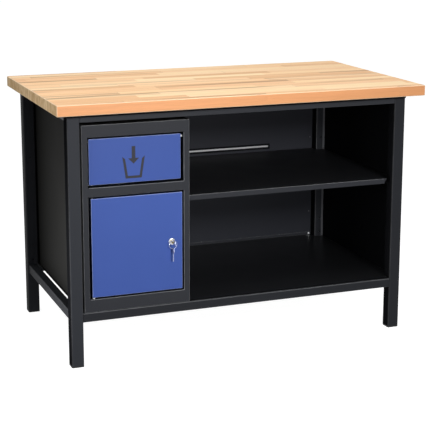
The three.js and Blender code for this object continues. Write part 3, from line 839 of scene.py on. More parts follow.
def lock_axis(depth: float) -> Vector:
    """The point of the lock's axis at a place on Y."""
    low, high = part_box("lock_body")
    return Vector(((low.x + high.x) / 2, depth, (low.z + high.z) / 2))


def spread(first: float, last: float, count: int) -> list[float]:
    """Evenly spread places from the first to the last."""
    return [first + (last - first) * index / (count - 1) for index in range(count)]


def on_rim(edge: bmesh.types.BMEdge, rim: Mapping[str, tuple[float, float]]) -> bool:
    """Whether an edge lies along one of the outer places of a rim."""
    return any(all(lies_at(v.co, {name: place}) for v in edge.verts)
               for name, places in rim.items() for place in places)


def eased_node(node: str, easing: float, segments: int, finish: Finish, **dressing: Any) -> None:
    """A CAD node in its own shape, with its sharp edges rounded."""
    piece = Piece.from_node(node)
    piece.soften(easing, segments)
    piece.dress(finish, node, **dressing)


@dataclass
class Worktop:
    """Solid beech top with eased edges."""

    easing: float = 3 * MM
    easing_steps: int = 4

    def build(self) -> None:
        """Models and dresses the top."""
        low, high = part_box("worktop")
        top = Piece.box("beech_worktop", low, high)
        with top.editing():
            top.select(Element.EDGE, lambda edge: True)
            top.round_edges(self.easing, self.easing_steps)
        top.dress(BEECH, "worktop", slot=Slot.BEECH, crease=50.0)


@dataclass
class TubeFrame:
    """Welded frame of square tube, with its foot caps, corner gussets and worktop screws."""

    post_radius: float = 4 * MM
    rail_radius: float = 3 * MM
    wall: float = 2 * MM
    hole_radius: float = 3.5 * MM
    hole_heights: tuple[float, ...] = (195 * MM, 248 * MM, 566 * MM)
    cap_easing: float = 1.5 * MM
    plate_easing: float = 0.6 * MM
    screw_head: float = 3.5 * MM
    highlit_strip: float = 8 * MM
    shadow_strip_depth: float = 2 * MM
    shadow_strip_height: float = 14 * MM

    def build(self) -> None:
        """Models and dresses all the tubes and their fittings."""
        self._shadow_strip()
        for end in ("front", "rear"):
            for side in ("left", "right"):
                self._post(f"{end}_{side}")
                self._fittings(f"{end}_{side}")
        for level in ("top", "bottom"):
            for side in ("front", "rear", "left", "right"):
                node = f"{level}_rail_{side}"
                self._tube(node, self.rail_radius).dress(self._finish(node), node)

    @staticmethod
    def _finish(node: str) -> Finish:
        """The enamel of a tube: some tubes get darker copies of the anthracite as painted shade, and some a
        stronger painted highlight on their edges.
        """
        coats = {"post_rear_right": EDGE_HIGHLIT, "bottom_rail_left": DULL_SHADED_COAT, "post_rear_left": SHADED_COAT,
                 "bottom_rail_front": SHADED_HIGHLIT_COAT, "post_front_right": SHADED_COAT}
        return coats.get(node, ANTHRACITE)

    def _tube(self, node: str, radius: float) -> Piece:
        """A square tube with round corners in the place of a node."""
        low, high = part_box(node)
        along = max(Axis, key=lambda axis: (high - low)[axis.value]).value
        tube = Piece.box(f"tube_{node}", low, high)
        with tube.editing():
            tube.select(Element.EDGE, lambda edge: abs(
                (edge.verts[0].co - edge.verts[1].co).normalized()[along]) > SQUARE)
            tube.round_edges(radius, 6)
            tube.delete_where(lambda face: abs(face.normal[along]) > SQUARE)
        tube.thicken(self.wall)
        return tube

    def _post(self, corner: str) -> None:
        """A post with the fixing holes of the panels in its inner face.

        Its left side is painted darker as painted shade, and at the rear right a strip of its front beside
        the panel is painted lighter as a painted highlight.
        """
        node = f"post_{corner}"
        post = self._tube(node, self.post_radius)
        low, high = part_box(node)
        at_rear, highlit = corner.startswith("rear"), corner == "rear_right"
        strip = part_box("right_side_panel")[0].x - self.highlit_strip
        if highlit:
            with post.editing():
                post.cut(Axis.X, strip)
        inner = low.y if at_rear else high.y
        for height in self.hole_heights:
            middle = ((low.x + high.x) / 2, inner, height)
            post.carve(Piece.drill(Axis.Y, middle, self.hole_radius, 3 * self.wall, 20))
        post.dress(self._finish(node), node)
        # Painted shade: the posts' left faces are painted near black.
        post.tint(SHADOW_BLACK if at_rear else DEEP_SHADE_BLACK, lambda face: face.normal.x < -LEANING)
        if highlit:
            # Painted highlight: a lighter strip down the rear right post's front, beside the side panel.
            post.tint(HIGHLIGHT_COAT, lambda face: face.normal.y < -SQUARE
                      and face.calc_center_median().x > strip)

    def _shadow_strip(self) -> None:
        """A black strip along the front under the worktop: a painted shadow of the worktop's overhang."""
        low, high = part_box("post_front_left")[0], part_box("post_front_right")[1]
        lip, foot = low.y - self.shadow_strip_depth, high.z - self.shadow_strip_height
        shadow_strip = Piece.box("worktop_shadow_strip", (low.x, lip, foot), (high.x, low.y, high.z))
        with shadow_strip.editing():
            shadow_strip.select_edges_at(y=lip, z=foot)
            shadow_strip.round_edges(0.8 * self.shadow_strip_depth)
        shadow_strip.dress(SHADOW_BLACK)

    def _fittings(self, corner: str) -> None:
        """The foot cap, gusset plate and worktop screw of a corner."""
        eased_node(f"foot_cap_{corner}", self.cap_easing, 3, FOOT_PLASTIC, slot=Slot.FOOT)
        eased_node(f"gusset_{corner}", self.plate_easing, 2, ANTHRACITE)
        self._screw(f"worktop_screw_{corner}")

    def _screw(self, node: str) -> None:
        """A pan-head wood screw with a slotted head."""
        low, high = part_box(node)
        middle = (low + high) / 2
        middle.z = low.z
        head = (high.x - low.x) / 2
        length = high.z - low.z
        screw = Piece.turned(f"turned_{node}", Axis.Z, middle, (
            (0.0, 0.55 * head), (0.25 * self.screw_head, 0.82 * head), (0.6 * self.screw_head, 0.97 * head),
            (self.screw_head, head), (self.screw_head, 0.42 * head),
            (0.8 * length, 0.42 * head), (length, 0.06 * head)), sides=24)
        screw.carve(Piece.block("slot", middle, (0.6 * head, 0.1 * head, 0.4 * self.screw_head)))
        screw.dress(ZINC, node, slot=Slot.ZINC)


@dataclass
class Rivets:
    """Domed rivet heads, each of which is modelled once and copied along a panel."""

    radius: float = 4 * MM
    rise_share: float = 0.4
    finish: Finish = EDGE_HIGHLIT
    slot: Slot = Slot.BLACK

    def row(self, name: str, axis: Axis, sign: float, places: Sequence[Triple]) -> None:
        """Models the heads at the given places, looking along an axis in the direction of a sign."""
        rise = sign * self.rise_share * self.radius
        first = Piece.turned(name, axis, places[0], (
            (0.0, self.radius), (0.35 * rise, 0.96 * self.radius), (0.7 * rise, 0.74 * self.radius),
            (0.93 * rise, 0.42 * self.radius), (rise, 0.12 * self.radius)), sides=16)
        first.absorb(*[first.copied(Vector(place) - Vector(places[0]), f"{name}_{index}")
                       for index, place in enumerate(places[1:])])
        first.dress(self.finish, slot=self.slot, crease=ROUND_CREASE)


@dataclass
class Panels:
    """Sheets that close the right side and the back."""

    edge: float = 0.5 * MM
    slot_low: tuple[float, float] = (32 * MM, 533 * MM)
    slot_high: tuple[float, float] = (360 * MM, 543 * MM)
    slot_round: float = 0.48
    slot_lip: float = 2.5 * MM
    seal_height: float = 6.4 * MM
    seal_gap: float = 2 * MM
    seal_proud: float = 1.0 * MM
    # Width of the black rim round the slot, which is painted shade.
    shade_rim: float = 5.5 * MM
    backing_margin: float = 11 * MM
    backing: float = 1.5 * MM
    upstand_height: float = 10 * MM
    upstand_sheet: float = 1.2 * MM
    row_inset: float = 15 * MM
    side_margin: float = 40 * MM
    back_margin: float = 60 * MM
    column: float = 533 * MM
    column_heights: tuple[float, ...] = (271 * MM, 562 * MM)
    plug_rise: float = 36 * MM
    foot_row: tuple[float, ...] = (91 * MM, 250 * MM, 409 * MM)
    rivets: Rivets = field(default_factory=Rivets)
    small_rivets: Rivets = field(default_factory=lambda: Rivets(radius=2.2 * MM))
    plug: Rivets = field(default_factory=lambda: Rivets(4.8 * MM, finish=NYLON, slot=Slot.NYLON))

    def build(self) -> None:
        """Models and dresses the two panels, the slot's fittings and the rivets."""
        low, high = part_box("right_side_panel")
        side = Piece.bar("side_sheet", low, high, self.edge)
        side.dress(ANTHRACITE, "right_side_panel")
        # Painted shade: the panel's inner face is painted near black.
        side.tint(SHADOW_BLACK, lambda face: face.normal.x < -LEANING)
        self._back()
        self._seal()
        self._upstand()
        places = spread(low.y + self.side_margin, high.y - self.side_margin, 4)
        self.rivets.row("side_sheet_rivets", Axis.X, 1.0, [
            (high.x, y, z) for z in self._rows(low, high) for y in places])

    def _rows(self, low: Vector, high: Vector) -> tuple[float, float]:
        """Heights of the lower and upper row of a panel's rivets."""
        return low.z + self.row_inset, high.z - self.row_inset

    def _back(self) -> None:
        """The back panel with its long cable slot, which has round ends and a turned-in rim."""
        low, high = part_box("back_panel")
        back = Piece.sheet("back_sheet", (low.x, high.y, low.z), high)
        (x0, z0), (x1, z1) = self.slot_low, self.slot_high
        corners = [{"x": x, "z": z} for x in (x0, x1) for z in (z0, z1)]
        with back.editing():
            back.cut(Axis.X, x0, x1)
            back.cut(Axis.Z, z0, z1)
            back.delete_between((x0, low.y, z0), (x1, high.y, z1))
            back.select(Element.VERTEX, lambda v: any(lies_at(v.co, corner) for corner in corners))
            back.round_edges(self.slot_round * (z1 - z0), 5, corners=True)
            back.select(Element.EDGE, lambda edge: edge.is_boundary and all(
                x0 - MM < v.co.x < x1 + MM and z0 - MM < v.co.z < z1 + MM for v in edge.verts))
            back.draw_edges((0, -self.slot_lip, 0))
            back.face_out((0, 1, 0))
        back.thicken(high.y - low.y)
        back.dress(BACK_SHEET, "back_panel")
        self._back_rivets(low, high)

    def _back_rivets(self, low: Vector, high: Vector) -> None:
        """The back panel's rivets, and the white plug low down in its column of rivets."""
        foot = low.z + self.plug_rise
        inner = [(self.column, low.y, z) for z in self.column_heights]
        inner += [(x, low.y, foot + self.upstand_height / 2) for x in self.foot_row]
        self.small_rivets.row("back_inner_rivets", Axis.Y, -1.0, inner)
        self.plug.row("back_corner_plug", Axis.Y, -1.0, [(self.column, low.y, foot)])
        places = spread(low.x + self.back_margin, high.x - self.back_margin, 6)
        self.rivets.row("back_outer_rivets", Axis.Y, 1.0, [
            (x, high.y, z) for z in self._rows(low, high) for x in places])

    def _upstand(self) -> None:
        """The low upstand along the rear edge of the bay's floor, which the back panel is riveted to."""
        floor_low, floor_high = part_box("bottom_shelf")
        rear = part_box("back_panel")[0].y
        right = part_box("post_rear_right")[0].x - MM
        upstand = Piece.bar("floor_upstand", (floor_low.x, rear - self.upstand_sheet, floor_high.z),
                            (right, rear, floor_high.z + self.upstand_height),
                            SHEET_ROUND * self.upstand_sheet, 3)
        upstand.dress(EDGE_HIGHLIT)

    def _seal(self) -> None:
        """The grey seal in the cable slot, a black rim round it as painted shade, and the cover plate
        behind it.
        """
        low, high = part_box("back_panel")
        (x0, z0), (x1, z1) = self.slot_low, self.slot_high
        middle, half = (z0 + z1) / 2, self.seal_height / 2
        proud = low.y - self.seal_proud
        seal = Piece.bar("slot_seal", (x0 + self.seal_gap, proud, middle - half),
                         (x1 - self.seal_gap, high.y, middle + half), STRIP_ROUND * self.seal_height, 4)
        seal.dress(SEAL, slot=Slot.NYLON)
        rim = self.shade_rim
        shade_rim = Piece.box("slot_shade_rim", (x0 - rim, proud, z0 - rim), (x1 + rim, low.y, z1 + rim))
        shade_rim.carve(Piece.box("opening", (x0, low.y - 2 * self.seal_proud, z0), (x1, high.y, z1)))
        shade_rim.soften(STRIP_ROUND * self.seal_proud, 2)
        shade_rim.dress(SHADOW_BLACK)
        margin = self.backing_margin
        cover = Piece.bar("slot_cover", (x0 - margin, high.y, z0 - margin / 2),
                          (x1 + margin, high.y + self.backing, z1 + margin / 2), STRIP_ROUND * self.backing)
        cover.dress(SHADOW_BLACK)


@dataclass
class Shelves:
    """Floor sheet and middle shelf of the open bay, and the cleats that carry the shelf."""

    sheet: float = 1.5 * MM
    fold: float = 1.4 * MM
    lip_rise: float = 7.5 * MM
    # Depth of the painted shadow band along the floor sheet's front.
    seam: float = 12 * MM
    notch_side: float = 21 * MM
    notch_depth: float = 6 * MM
    post_gap: float = 0.25 * MM
    level: float = 0.99
    cleat_easing: float = 0.7 * MM

    def build(self) -> None:
        """Models and dresses the shelves."""
        self._floor()
        self._middle()
        for side in ("left", "right"):
            eased_node(f"shelf_cleat_{side}", self.cleat_easing, 2, ANTHRACITE)

    def _floor(self) -> None:
        """The floor sheet, notched round the right posts, with a black band along its front as painted
        shadow.
        """
        node = "bottom_shelf"
        floor = Piece.from_node(node)
        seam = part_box(node)[0].y + self.seam
        with floor.editing():
            floor.cut(Axis.Y, seam)
        floor.soften(SHEET_ROUND * self.sheet, 3)
        floor.dress(SATIN_SHEET, node)
        # Painted shadow: the band in front of the cut is painted black.
        floor.tint(SHADOW_BLACK, lambda face: face.calc_center_median().y < seam)

    def _middle(self) -> None:
        """The middle shelf: a pan with flanges and a hemmed lip that stands up at the front."""
        low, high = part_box("middle_shelf")
        surface = high.z - self.lip_rise
        post_low, post_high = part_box("post_front_right")
        notch, notch_back = post_low.x - self.notch_side, post_high.y + self.notch_depth
        rear_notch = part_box("post_rear_right")[0] - Vector((self.post_gap, self.post_gap, 0))
        lip_back = low.y + 2 * self.sheet
        shelf = Piece.sheet("folded_shelf", (low.x, lip_back, surface), (high.x, high.y, surface))
        with shelf.editing():
            shelf.cut(Axis.X, notch, rear_notch.x)
            shelf.cut(Axis.Y, notch_back, rear_notch.y)
            shelf.delete_where(lambda face: self._in_notch(
                face.calc_center_median(), notch, notch_back, rear_notch))
            shelf.select(Element.EDGE, lambda edge: edge.is_boundary and not all(
                lies_at(v.co, {"y": lip_back}) for v in edge.verts))
            shelf.draw_edges((0, 0, low.z - surface))
            shelf.select_edges_at(y=lip_back, z=surface)
            shelf.draw_edges((0, 0, self.lip_rise))
            shelf.draw_edges((0, low.y - lip_back, 0))
            shelf.draw_edges((0, 0, low.z - high.z))
            shelf.face_out((0, 0, 1))
        shelf.bend(self.fold, 4, self.sheet)
        shelf.dress(EDGE_HIGHLIT, "middle_shelf")
        # The shelf's top gets a glossier sheet whose darker colour is painted shade.
        shelf.tint(SHADED_SILK_SHEET, lambda face: face.normal.z > self.level
                   and face.calc_center_median().y > lip_back)

    @staticmethod
    def _in_notch(middle: Vector, notch: float, notch_back: float, rear_notch: Vector) -> bool:
        """Whether a point of the sheet lies where a post passes."""
        front = middle.x > notch and middle.y < notch_back
        return front or (middle.x > rear_notch.x and middle.y > rear_notch.y)


@dataclass
class CabinetShell:
    """Sheet walls, back, floor and top of the cabinet."""

    edge: float = 0.55 * MM
    foot_flange: float = 7 * MM
    flange_sheet: float = 1.2 * MM

    def build(self) -> None:
        """Models and dresses the five sheets and the flange along the left wall's foot."""
        self._flange()
        for part in ("left_wall", "right_wall", "back", "floor", "top"):
            node = f"cabinet_{part}"
            Piece.bar(f"shell_{part}", *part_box(node), self.edge, 3).dress(MATT_SHEET, node)

    def _flange(self) -> None:
        """A narrow flange between the left posts, folded out from the foot of the left wall."""
        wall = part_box("cabinet_left_wall")[0]
        front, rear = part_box("post_front_left")[1].y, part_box("post_rear_left")[0].y
        flange = Piece.bar("shell_left_flange", (wall.x - self.foot_flange, front, wall.z),
                           (wall.x, rear, wall.z + self.flange_sheet), STRIP_ROUND * self.flange_sheet)
        flange.dress(MATT_SHEET)


@dataclass
class FrontFrame:
    """Folded front of the cabinet, with a flap opening over a door opening."""

    sheet: float = 1.5 * MM
    fold: float = 1.8 * MM
    depth: float = 18 * MM
    stile: float = 19 * MM
    top: float = 39 * MM
    flap_opening: float = 158 * MM
    middle: float = 30 * MM
    bottom: float = 41 * MM
    stop_lip: float = 11 * MM
    lit_depth: float = 1.4
    slant: float = 0.2
    bush_step: float = 1.0 * MM
    bush_wall: float = 2.2 * MM
    bush_collar: float = 1.25 * MM
    bush_rim: float = 0.3 * MM

    def build(self) -> None:
        """Models and dresses the frame and the four pivot bushes in it."""
        node = "cabinet_front_frame"
        low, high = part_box(node)
        across = (low.x + self.stile, high.x - self.stile)
        flap_top = high.z - self.top
        flap_bottom = flap_top - self.flap_opening
        door_top = flap_bottom - self.middle
        door_bottom = low.z + self.bottom
        front = Piece.sheet("folded_front", low, (high.x, low.y, high.z))
        with front.editing():
            front.cut(Axis.X, *across)
            front.cut(Axis.Z, flap_top, flap_bottom, door_top, door_bottom)
            for bottom, top in ((flap_bottom, flap_top), (door_bottom, door_top)):
                front.delete_between((across[0], low.y - MM, bottom), (across[1], low.y + MM, top))
            outer = {"x": (low.x, high.x), "z": (low.z, high.z)}
            front.select(Element.EDGE, lambda edge: edge.is_boundary and on_rim(edge, outer))
            front.draw_edges((0, self.depth, 0))
            front.select(Element.EDGE, lambda edge: edge.is_boundary and not on_rim(edge, outer))
            front.draw_edges((0, high.y - low.y, 0))
            front.select_edges_at(y=high.y, z=flap_top)
            front.draw_edges((0, 0, -self.stop_lip))
            front.face_out((0, -1, 0))
        front.bend(self.fold, 4, self.sheet)
        front.dress(EDGE_HIGHLIT, node)
        # Painted shade: the returns behind the front fold, and the openings' folds that look right or down,
        # are painted black.
        shaded = low.y + self.lit_depth * self.fold
        front.tint(SHADOW_BLACK, lambda face: face.calc_center_median().y > shaded)
        sides = (across[0] - self.fold, across[1] + self.fold)
        heights = (door_bottom - self.fold, flap_top + self.fold)
        front.tint(SHADOW_BLACK, lambda face: self._turned_away(face, sides, heights))
        for bush in ("door_bush_bottom", "door_bush_top", "flap_bush_left", "flap_bush_right"):
            self._bush(bush)

    def _turned_away(self, face: bmesh.types.BMFace, sides: tuple[float, float],
                     heights: tuple[float, float]) -> bool:
        """Whether a face of the openings' folds looks to the right or down, where no light falls."""
        middle = face.calc_center_median()
        in_openings = sides[0] < middle.x < sides[1] and heights[0] < middle.z < heights[1]
        return in_openings and (face.normal.x > self.slant or face.normal.z < -self.slant)

    def _bush(self, node: str) -> None:
        """A collared nylon bush with rounded rims in the place of a node."""
        low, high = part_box(node)
        axis = Axis.Z if node.startswith("door") else Axis.X
        collar, length = round_size(node, axis)
        shank, bore = collar - self.bush_step, collar - self.bush_wall
        thick, rim = self.bush_collar, self.bush_rim
        sign = 1.0 if node in ("door_bush_top", "flap_bush_right") else -1.0
        path = (*chamfered(0.0, thick, collar, rim), (thick, shank), (length - rim, shank),
                (length, shank - rim), (length, bore), (0.0, bore))
        stations = [(sign * (place - length / 2), radius) for place, radius in path]
        bush = Piece.turned(f"turned_{node}", axis, (low + high) / 2, stations, bored=True)
        # Painted shade: the top door bush and the left flap bush are dark nylon, the other two white.
        pale = node in ("door_bush_bottom", "flap_bush_right")
        bush.dress(NYLON if pale else DARK_NYLON, node, slot=Slot.NYLON)


@dataclass
class FoldedPan:
    """A sheet bent back on its four sides and hemmed inwards, as a door or flap is."""

    sheet: float = 1.5 * MM
    fold: float = 1.7 * MM
    ease: float = 1.2 * MM

    def build(self, name: str, node: str, hem: float) -> Piece:
        """Models the pan in the place of a node, a little smaller all round."""
        low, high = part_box(node)
        rim = Vector((self.ease, 0.0, self.ease))
        low, high = low + rim, high - rim
        pan = Piece.sheet(name, low, (high.x, low.y, high.z))
        span = high - low
        with pan.editing():
            pan.select_rim()
            pan.draw_edges((0, span.y, 0))
            pan.draw_edges((0, 0, 0))
            pan.scale((1 - 2 * hem / span.x, 1.0, 1 - 2 * hem / span.z), (low + high) / 2)
            pan.face_out((0, -1, 0))
        pan.bend(self.fold, 4, self.sheet)
        return pan

    def paint(self, pan: Piece, node: str, body: Body) -> None:
        """Paints the pan blue, with a darker blue on its sides and hems as painted shade."""
        pan.dress(COBALT, node, body=body, slot=Slot.BLUE)
        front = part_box(node)[0].y
        pan.tint(COBALT_SHADE, lambda face: face.calc_center_median().y > front + self.fold)


def pivot_pin(node: str, axis: Axis, body: Body, chamfer: float = 0.4 * MM) -> None:
    """A steel pivot pin with chamfered ends in the place of a node."""
    low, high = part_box(node)
    radius, length = round_size(node, axis)
    pin = Piece.turned(f"turned_{node}", axis, (low + high) / 2,
                       chamfered(-length / 2, length / 2, radius, chamfer), sides=24)
    pin.dress(POLISHED, node, body=body, slot=Slot.ZINC)


@dataclass
class Door:
    """Blue pan door with a stiffening channel and two pivot pins."""

    hem: float = 9 * MM
    lock_bore: float = 9.3 * MM
    bore_reach: float = 5 * MM
    channel_fold: float = 1.2 * MM
    channel_sheet: float = 1.5 * MM

    def build(self) -> None:
        """Models and dresses the door, its channel and its pins."""
        pan = FoldedPan()
        panel = pan.build("blue_door", "door_panel", self.hem)
        lock = lock_axis(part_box("door_panel")[0].y)
        panel.carve(Piece.drill(Axis.Y, lock, self.lock_bore, self.bore_reach, 48))
        pan.paint(panel, "door_panel", Body.DOOR)
        self._channel()
        for end in ("bottom", "top"):
            pivot_pin(f"door_pin_{end}", Axis.Z, Body.DOOR)

    def _channel(self) -> None:
        """The channel behind the door's face, open towards it."""
        low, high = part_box("door_stiffener")
        channel = Piece.sheet("door_channel", (low.x, high.y, low.z), high)
        with channel.editing():
            channel.select(Element.EDGE, lambda edge: on_rim(edge, {"x": (low.x, high.x)}))
            channel.draw_edges((0, low.y - high.y, 0))
            channel.face_out((0, 1, 0))
        channel.bend(self.channel_fold, 3, self.channel_sheet)
        channel.dress(COBALT, "door_stiffener", body=Body.DOOR, slot=Slot.BLUE)


@dataclass
class CamLock:
    """Cam lock in the door, with the key in it, the ring on the key and the spare key on the ring."""

    rosette: float = 2.5 * MM
    barrel: float = 9 * MM
    bore: float = 5.3 * MM
    bore_rim: float = 0.3 * MM
    end_ease: float = 0.4 * MM
    hardware_ease: float = 0.5 * MM
    keyway: tuple[float, float, float] = (1.3 * MM, 18.3 * MM, 3.8 * MM)
    screw_cap: float = 3 * MM
    bow: float = 10 * MM
    bow_hole: float = 3 * MM
    hole_offset: float = 5 * MM
    blade: float = 7 * MM
    key_sheet: float = 2 * MM
    key_easing: float = 0.3 * MM
    shoulder: float = 4 * MM
    shoulder_length: float = 13 * MM
    cuts: tuple[float, ...] = (4 * MM, 8 * MM, 12.5 * MM, 16.5 * MM, 21 * MM)
    cut_depths: tuple[float, ...] = (1.3 * MM, 0.7 * MM, 1.6 * MM, 1.0 * MM, 0.5 * MM)
    cut_radius: float = 1.7 * MM
    groove: float = 0.45 * MM
    ring_radius: float = 13 * MM
    ring_wire: float = 0.8 * MM
    ring_split: float = 0.35 * MM

    def build(self) -> None:
        """Models and dresses the lock, the two keys and the ring."""
        self._body()
        self._plug()
        for node, body in (("lock_nut", Body.DOOR), ("lock_cam", Body.LOCK)):
            eased_node(node, self.hardware_ease, 2, ZINC, body=body, slot=Slot.ZINC)
        self._cam_screw()
        self._lock_key()
        self._spare_key()
        self._ring()

    def _body(self) -> None:
        """The barrel with its domed rosette, bored for the plug."""
        radius, length = round_size("lock_body", Axis.Y)
        bore, barrel, step, ease = self.bore, self.barrel, self.rosette, self.end_ease
        stations = ((self.bore_rim, bore), (0.0, bore + self.bore_rim), (0.0, 0.62 * radius),
                    (0.15 * step, 0.8 * radius), (0.45 * step, 0.95 * radius), (0.8 * step, radius),
                    (step, radius), (step, barrel), (length - ease, barrel), (length, barrel - ease),
                    (length, bore))
        front = lock_axis(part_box("lock_body")[0].y)
        body = Piece.turned("lock_barrel", Axis.Y, front, stations, sides=48, bored=True)
        body.dress(CHROME, "lock_body", body=Body.DOOR, slot=Slot.CHROME)

    def _plug(self) -> None:
        """The brass plug with its keyway."""
        radius, length = round_size("lock_plug", Axis.Y)
        front = lock_axis(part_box("lock_plug")[0].y)
        plug = Piece.turned("turned_lock_plug", Axis.Y, front,
                            chamfered(0.0, length, radius, self.end_ease), sides=40)
        plug.carve(Piece.block("keyway", front, self.keyway))
        plug.dress(BRASS, "lock_plug", body=Body.LOCK, slot=Slot.BRASS)

    def _cam_screw(self) -> None:
        """The screw that holds the cam on the plug, with a domed slotted head."""
        low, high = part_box("lock_cam_screw")
        head, length = round_size("lock_cam_screw", Axis.Y)
        shank, cap = head / 2, self.screw_cap
        screw = Piece.turned("turned_cam_screw", Axis.Y, lock_axis(low.y), (
            (0.0, 0.8 * shank), (self.end_ease, shank), (length - cap, shank), (length - cap, head),
            (length - 0.4 * cap, head), (length - 0.1 * cap, 0.8 * head), (length, 0.5 * head)), sides=28)
        screw.carve(Piece.block("slot", lock_axis(high.y), (head, 0.3 * cap, 0.14 * head)))
        screw.dress(ZINC, "lock_cam_screw", body=Body.LOCK, slot=Slot.ZINC)

    def _blank(self, name: str, bow: Vector, along: Vector, length: float) -> Piece:
        """A flat key that lies across X.

        Args:
            name: Name of the piece.
            bow: Middle of the round bow.
            along: Direction of the blade.
            length: Distance from the middle of the bow to the tip.

        Returns:
            The key, with a hole in its bow, and a groove and a row of cuts in its blade.
        """
        half, ease = self.key_sheet / 2, self.key_easing
        across = Axis.X.unit.cross(along)
        disc = Piece.turned(name, Axis.X, bow, chamfered(-half, half, self.bow, ease), sides=56)
        side = Axis.X.unit * half + across * (self.blade / 2)
        corners = (bow + along * (0.7 * self.bow) - side, bow + along * length + side)
        blade = self._between("blade", *corners)
        blade.soften(ease, 2)
        disc.weld(blade)
        hole = bow - along * self.hole_offset
        disc.carve(self._drill(hole, self.bow_hole))
        tip = bow + along * length
        for back, depth in zip(self.cuts, self.cut_depths):
            edge = across * (self.blade / 2 + self.cut_radius - depth)
            disc.carve(self._drill(tip - along * back + edge, self.cut_radius))
        lane = across * (0.12 * self.blade)
        for face in (-half, half):
            middle = Axis.X.unit * face - across * (0.1 * self.blade)
            wide = Axis.X.unit * self.groove + lane
            disc.carve(self._between("groove", bow + along * (1.25 * self.bow) + middle - wide,
                                     tip + along * self.groove + middle + wide))
        return disc

    def _drill(self, middle: Vector, radius: float) -> Piece:
        """A round cutter across a key."""
        return Piece.drill(Axis.X, middle, radius, 2 * self.key_sheet, 32)

    @staticmethod
    def _between(name: str, a: Vector, b: Vector) -> Piece:
        """A block between any two opposite corners."""
        return Piece.box(name, [min(p) for p in zip(a, b)], [max(p) for p in zip(a, b)])

    def _lock_key(self) -> None:
        """The key in the lock, with the round shoulder that the ring hangs on."""
        low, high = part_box("lock_key")
        bow = lock_axis(low.y + self.bow)
        key = self._blank("cut_lock_key", bow, Axis.Y.unit, high.y - bow.y)
        start = self.bow - MM
        rings = chamfered(start, start + self.shoulder_length, self.shoulder, self.key_easing)
        key.weld(Piece.turned("shoulder", Axis.Y, bow, rings, sides=40))
        key.dress(BLUE_REFLECTING_NICKEL, "lock_key", body=Body.LOCK, slot=Slot.KEY)
        # The part of the key next to the lock is dark brass.
        key.tint(DARK_BRASS, lambda face: face.calc_center_median().y > bow.y + start)

    def _spare_key(self) -> None:
        """The spare key, which hangs on the ring."""
        low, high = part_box("spare_key")
        bow = (low + high) / 2
        bow.z = high.z - self.bow
        key = self._blank("cut_spare_key", bow, -Axis.Z.unit, bow.z - low.z)
        key.dress(BLUE_REFLECTING_NICKEL, "spare_key", body=Body.SPARE, slot=Slot.KEY)

    def _ring(self) -> None:
        """A ring of round wire with the fine split where it was closed."""
        low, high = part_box("key_ring")
        middle = (low + high) / 2
        deselect()
        bpy.ops.mesh.primitive_torus_add(
            major_radius=self.ring_radius, minor_radius=self.ring_wire, major_segments=64,
            minor_segments=14, location=middle, rotation=Axis.Y.turn_from_z)
        ring = Piece("wire_ring")
        split = self.ring_split
        with ring.editing():
            ring.cut(Axis.X, middle.x - split, middle.x + split)
            ring.delete_where(lambda face: face.calc_center_median().z < middle.z
                              and abs(face.calc_center_median().x - middle.x) < split)
            ring.select_rim()
            bpy.ops.mesh.fill_holes(sides=0)
            ring.face_out()
        ring.dress(BLUE_REFLECTING_NICKEL, "key_ring", body=Body.RING, slot=Slot.KEY, crease=ROUND_CREASE)


@dataclass
class WasteFlap:
    """Blue waste flap with a printed sign, hung on two short pins."""

    hem: float = 6 * MM
    sign_middle: tuple[float, float] = (-366 * MM, 652 * MM)
    film: float = 0.25 * MM
    bin_top: float = 74 * MM
    bin_bottom: float = 52 * MM
    bin_height: float = 70 * MM
    stroke: float = 8 * MM
    mouth: float = 0.85
    shaft: float = 0.75
    arrow_width: float = 36 * MM
    arrow_length: float = 56 * MM

    def build(self) -> None:
        """Models and dresses the flap, its pins and its sign."""
        pan = FoldedPan()
        pan.paint(pan.build("blue_flap", "waste_flap", self.hem), "waste_flap", Body.FLAP)
        for side in ("left", "right"):
            pivot_pin(f"flap_pin_{side}", Axis.X, Body.FLAP)
        self._sign()

    def _sign(self) -> None:
        """A plain bin outline under an arrow, as one thin film on the flap."""
        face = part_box("waste_flap")[0].y
        x, z = self.sign_middle
        foot = z - 0.5 * (self.bin_height + self.arrow_length) + self.stroke
        sign = self._bin_outline(x, face, foot)
        sign.absorb(self._arrow(x, face, foot + self.bin_height - 3 * self.stroke))
        self._lay_film(sign)
        sign.dress(SIGN_FILM, body=Body.FLAP)

    def _bin_outline(self, x: float, y: float, foot: float) -> Piece:
        """The outline of a tapered bin with its mouth open."""
        half = self.bin_top / 2
        outline = Piece.sheet("flap_sign", (x - half, y, foot), (x + half, y, foot + self.bin_height))
        with outline.editing():
            outline.select_edges_at(z=foot)
            outline.scale((self.bin_bottom / self.bin_top, 1, 1), (x, y, foot))
            outline.select(Element.FACE, lambda face: True)
            bpy.ops.mesh.inset(thickness=self.stroke)
            outline.delete_faces()
            brim = foot + self.mouth * self.bin_height
            outline.delete_where(lambda face: face.calc_center_median().z > brim)
        return outline

    def _arrow(self, x: float, y: float, tip: float) -> Piece:
        """An arrow that points down into the bin."""
        half, neck = self.arrow_width / 2, tip + self.arrow_width / 2
        shaft = self.shaft * self.stroke
        arrow = Piece.sheet("arrow", (x - shaft, y, neck), (x + shaft, y, tip + self.arrow_length))
        head = Piece.sheet("arrow_head", (x - half, y, tip), (x + half, y, neck))
        with head.editing():
            head.select_edges_at(z=tip)
            bpy.ops.mesh.merge(type="CENTER")
        arrow.absorb(head)
        return arrow

    def _lay_film(self, sign: Piece) -> None:
        """Gives the sign its thickness, on the flap's face."""
        with sign.editing():
            bpy.ops.mesh.select_all(action="SELECT")
            sign.draw_faces((0, -self.film, 0))
            sign.face_out()


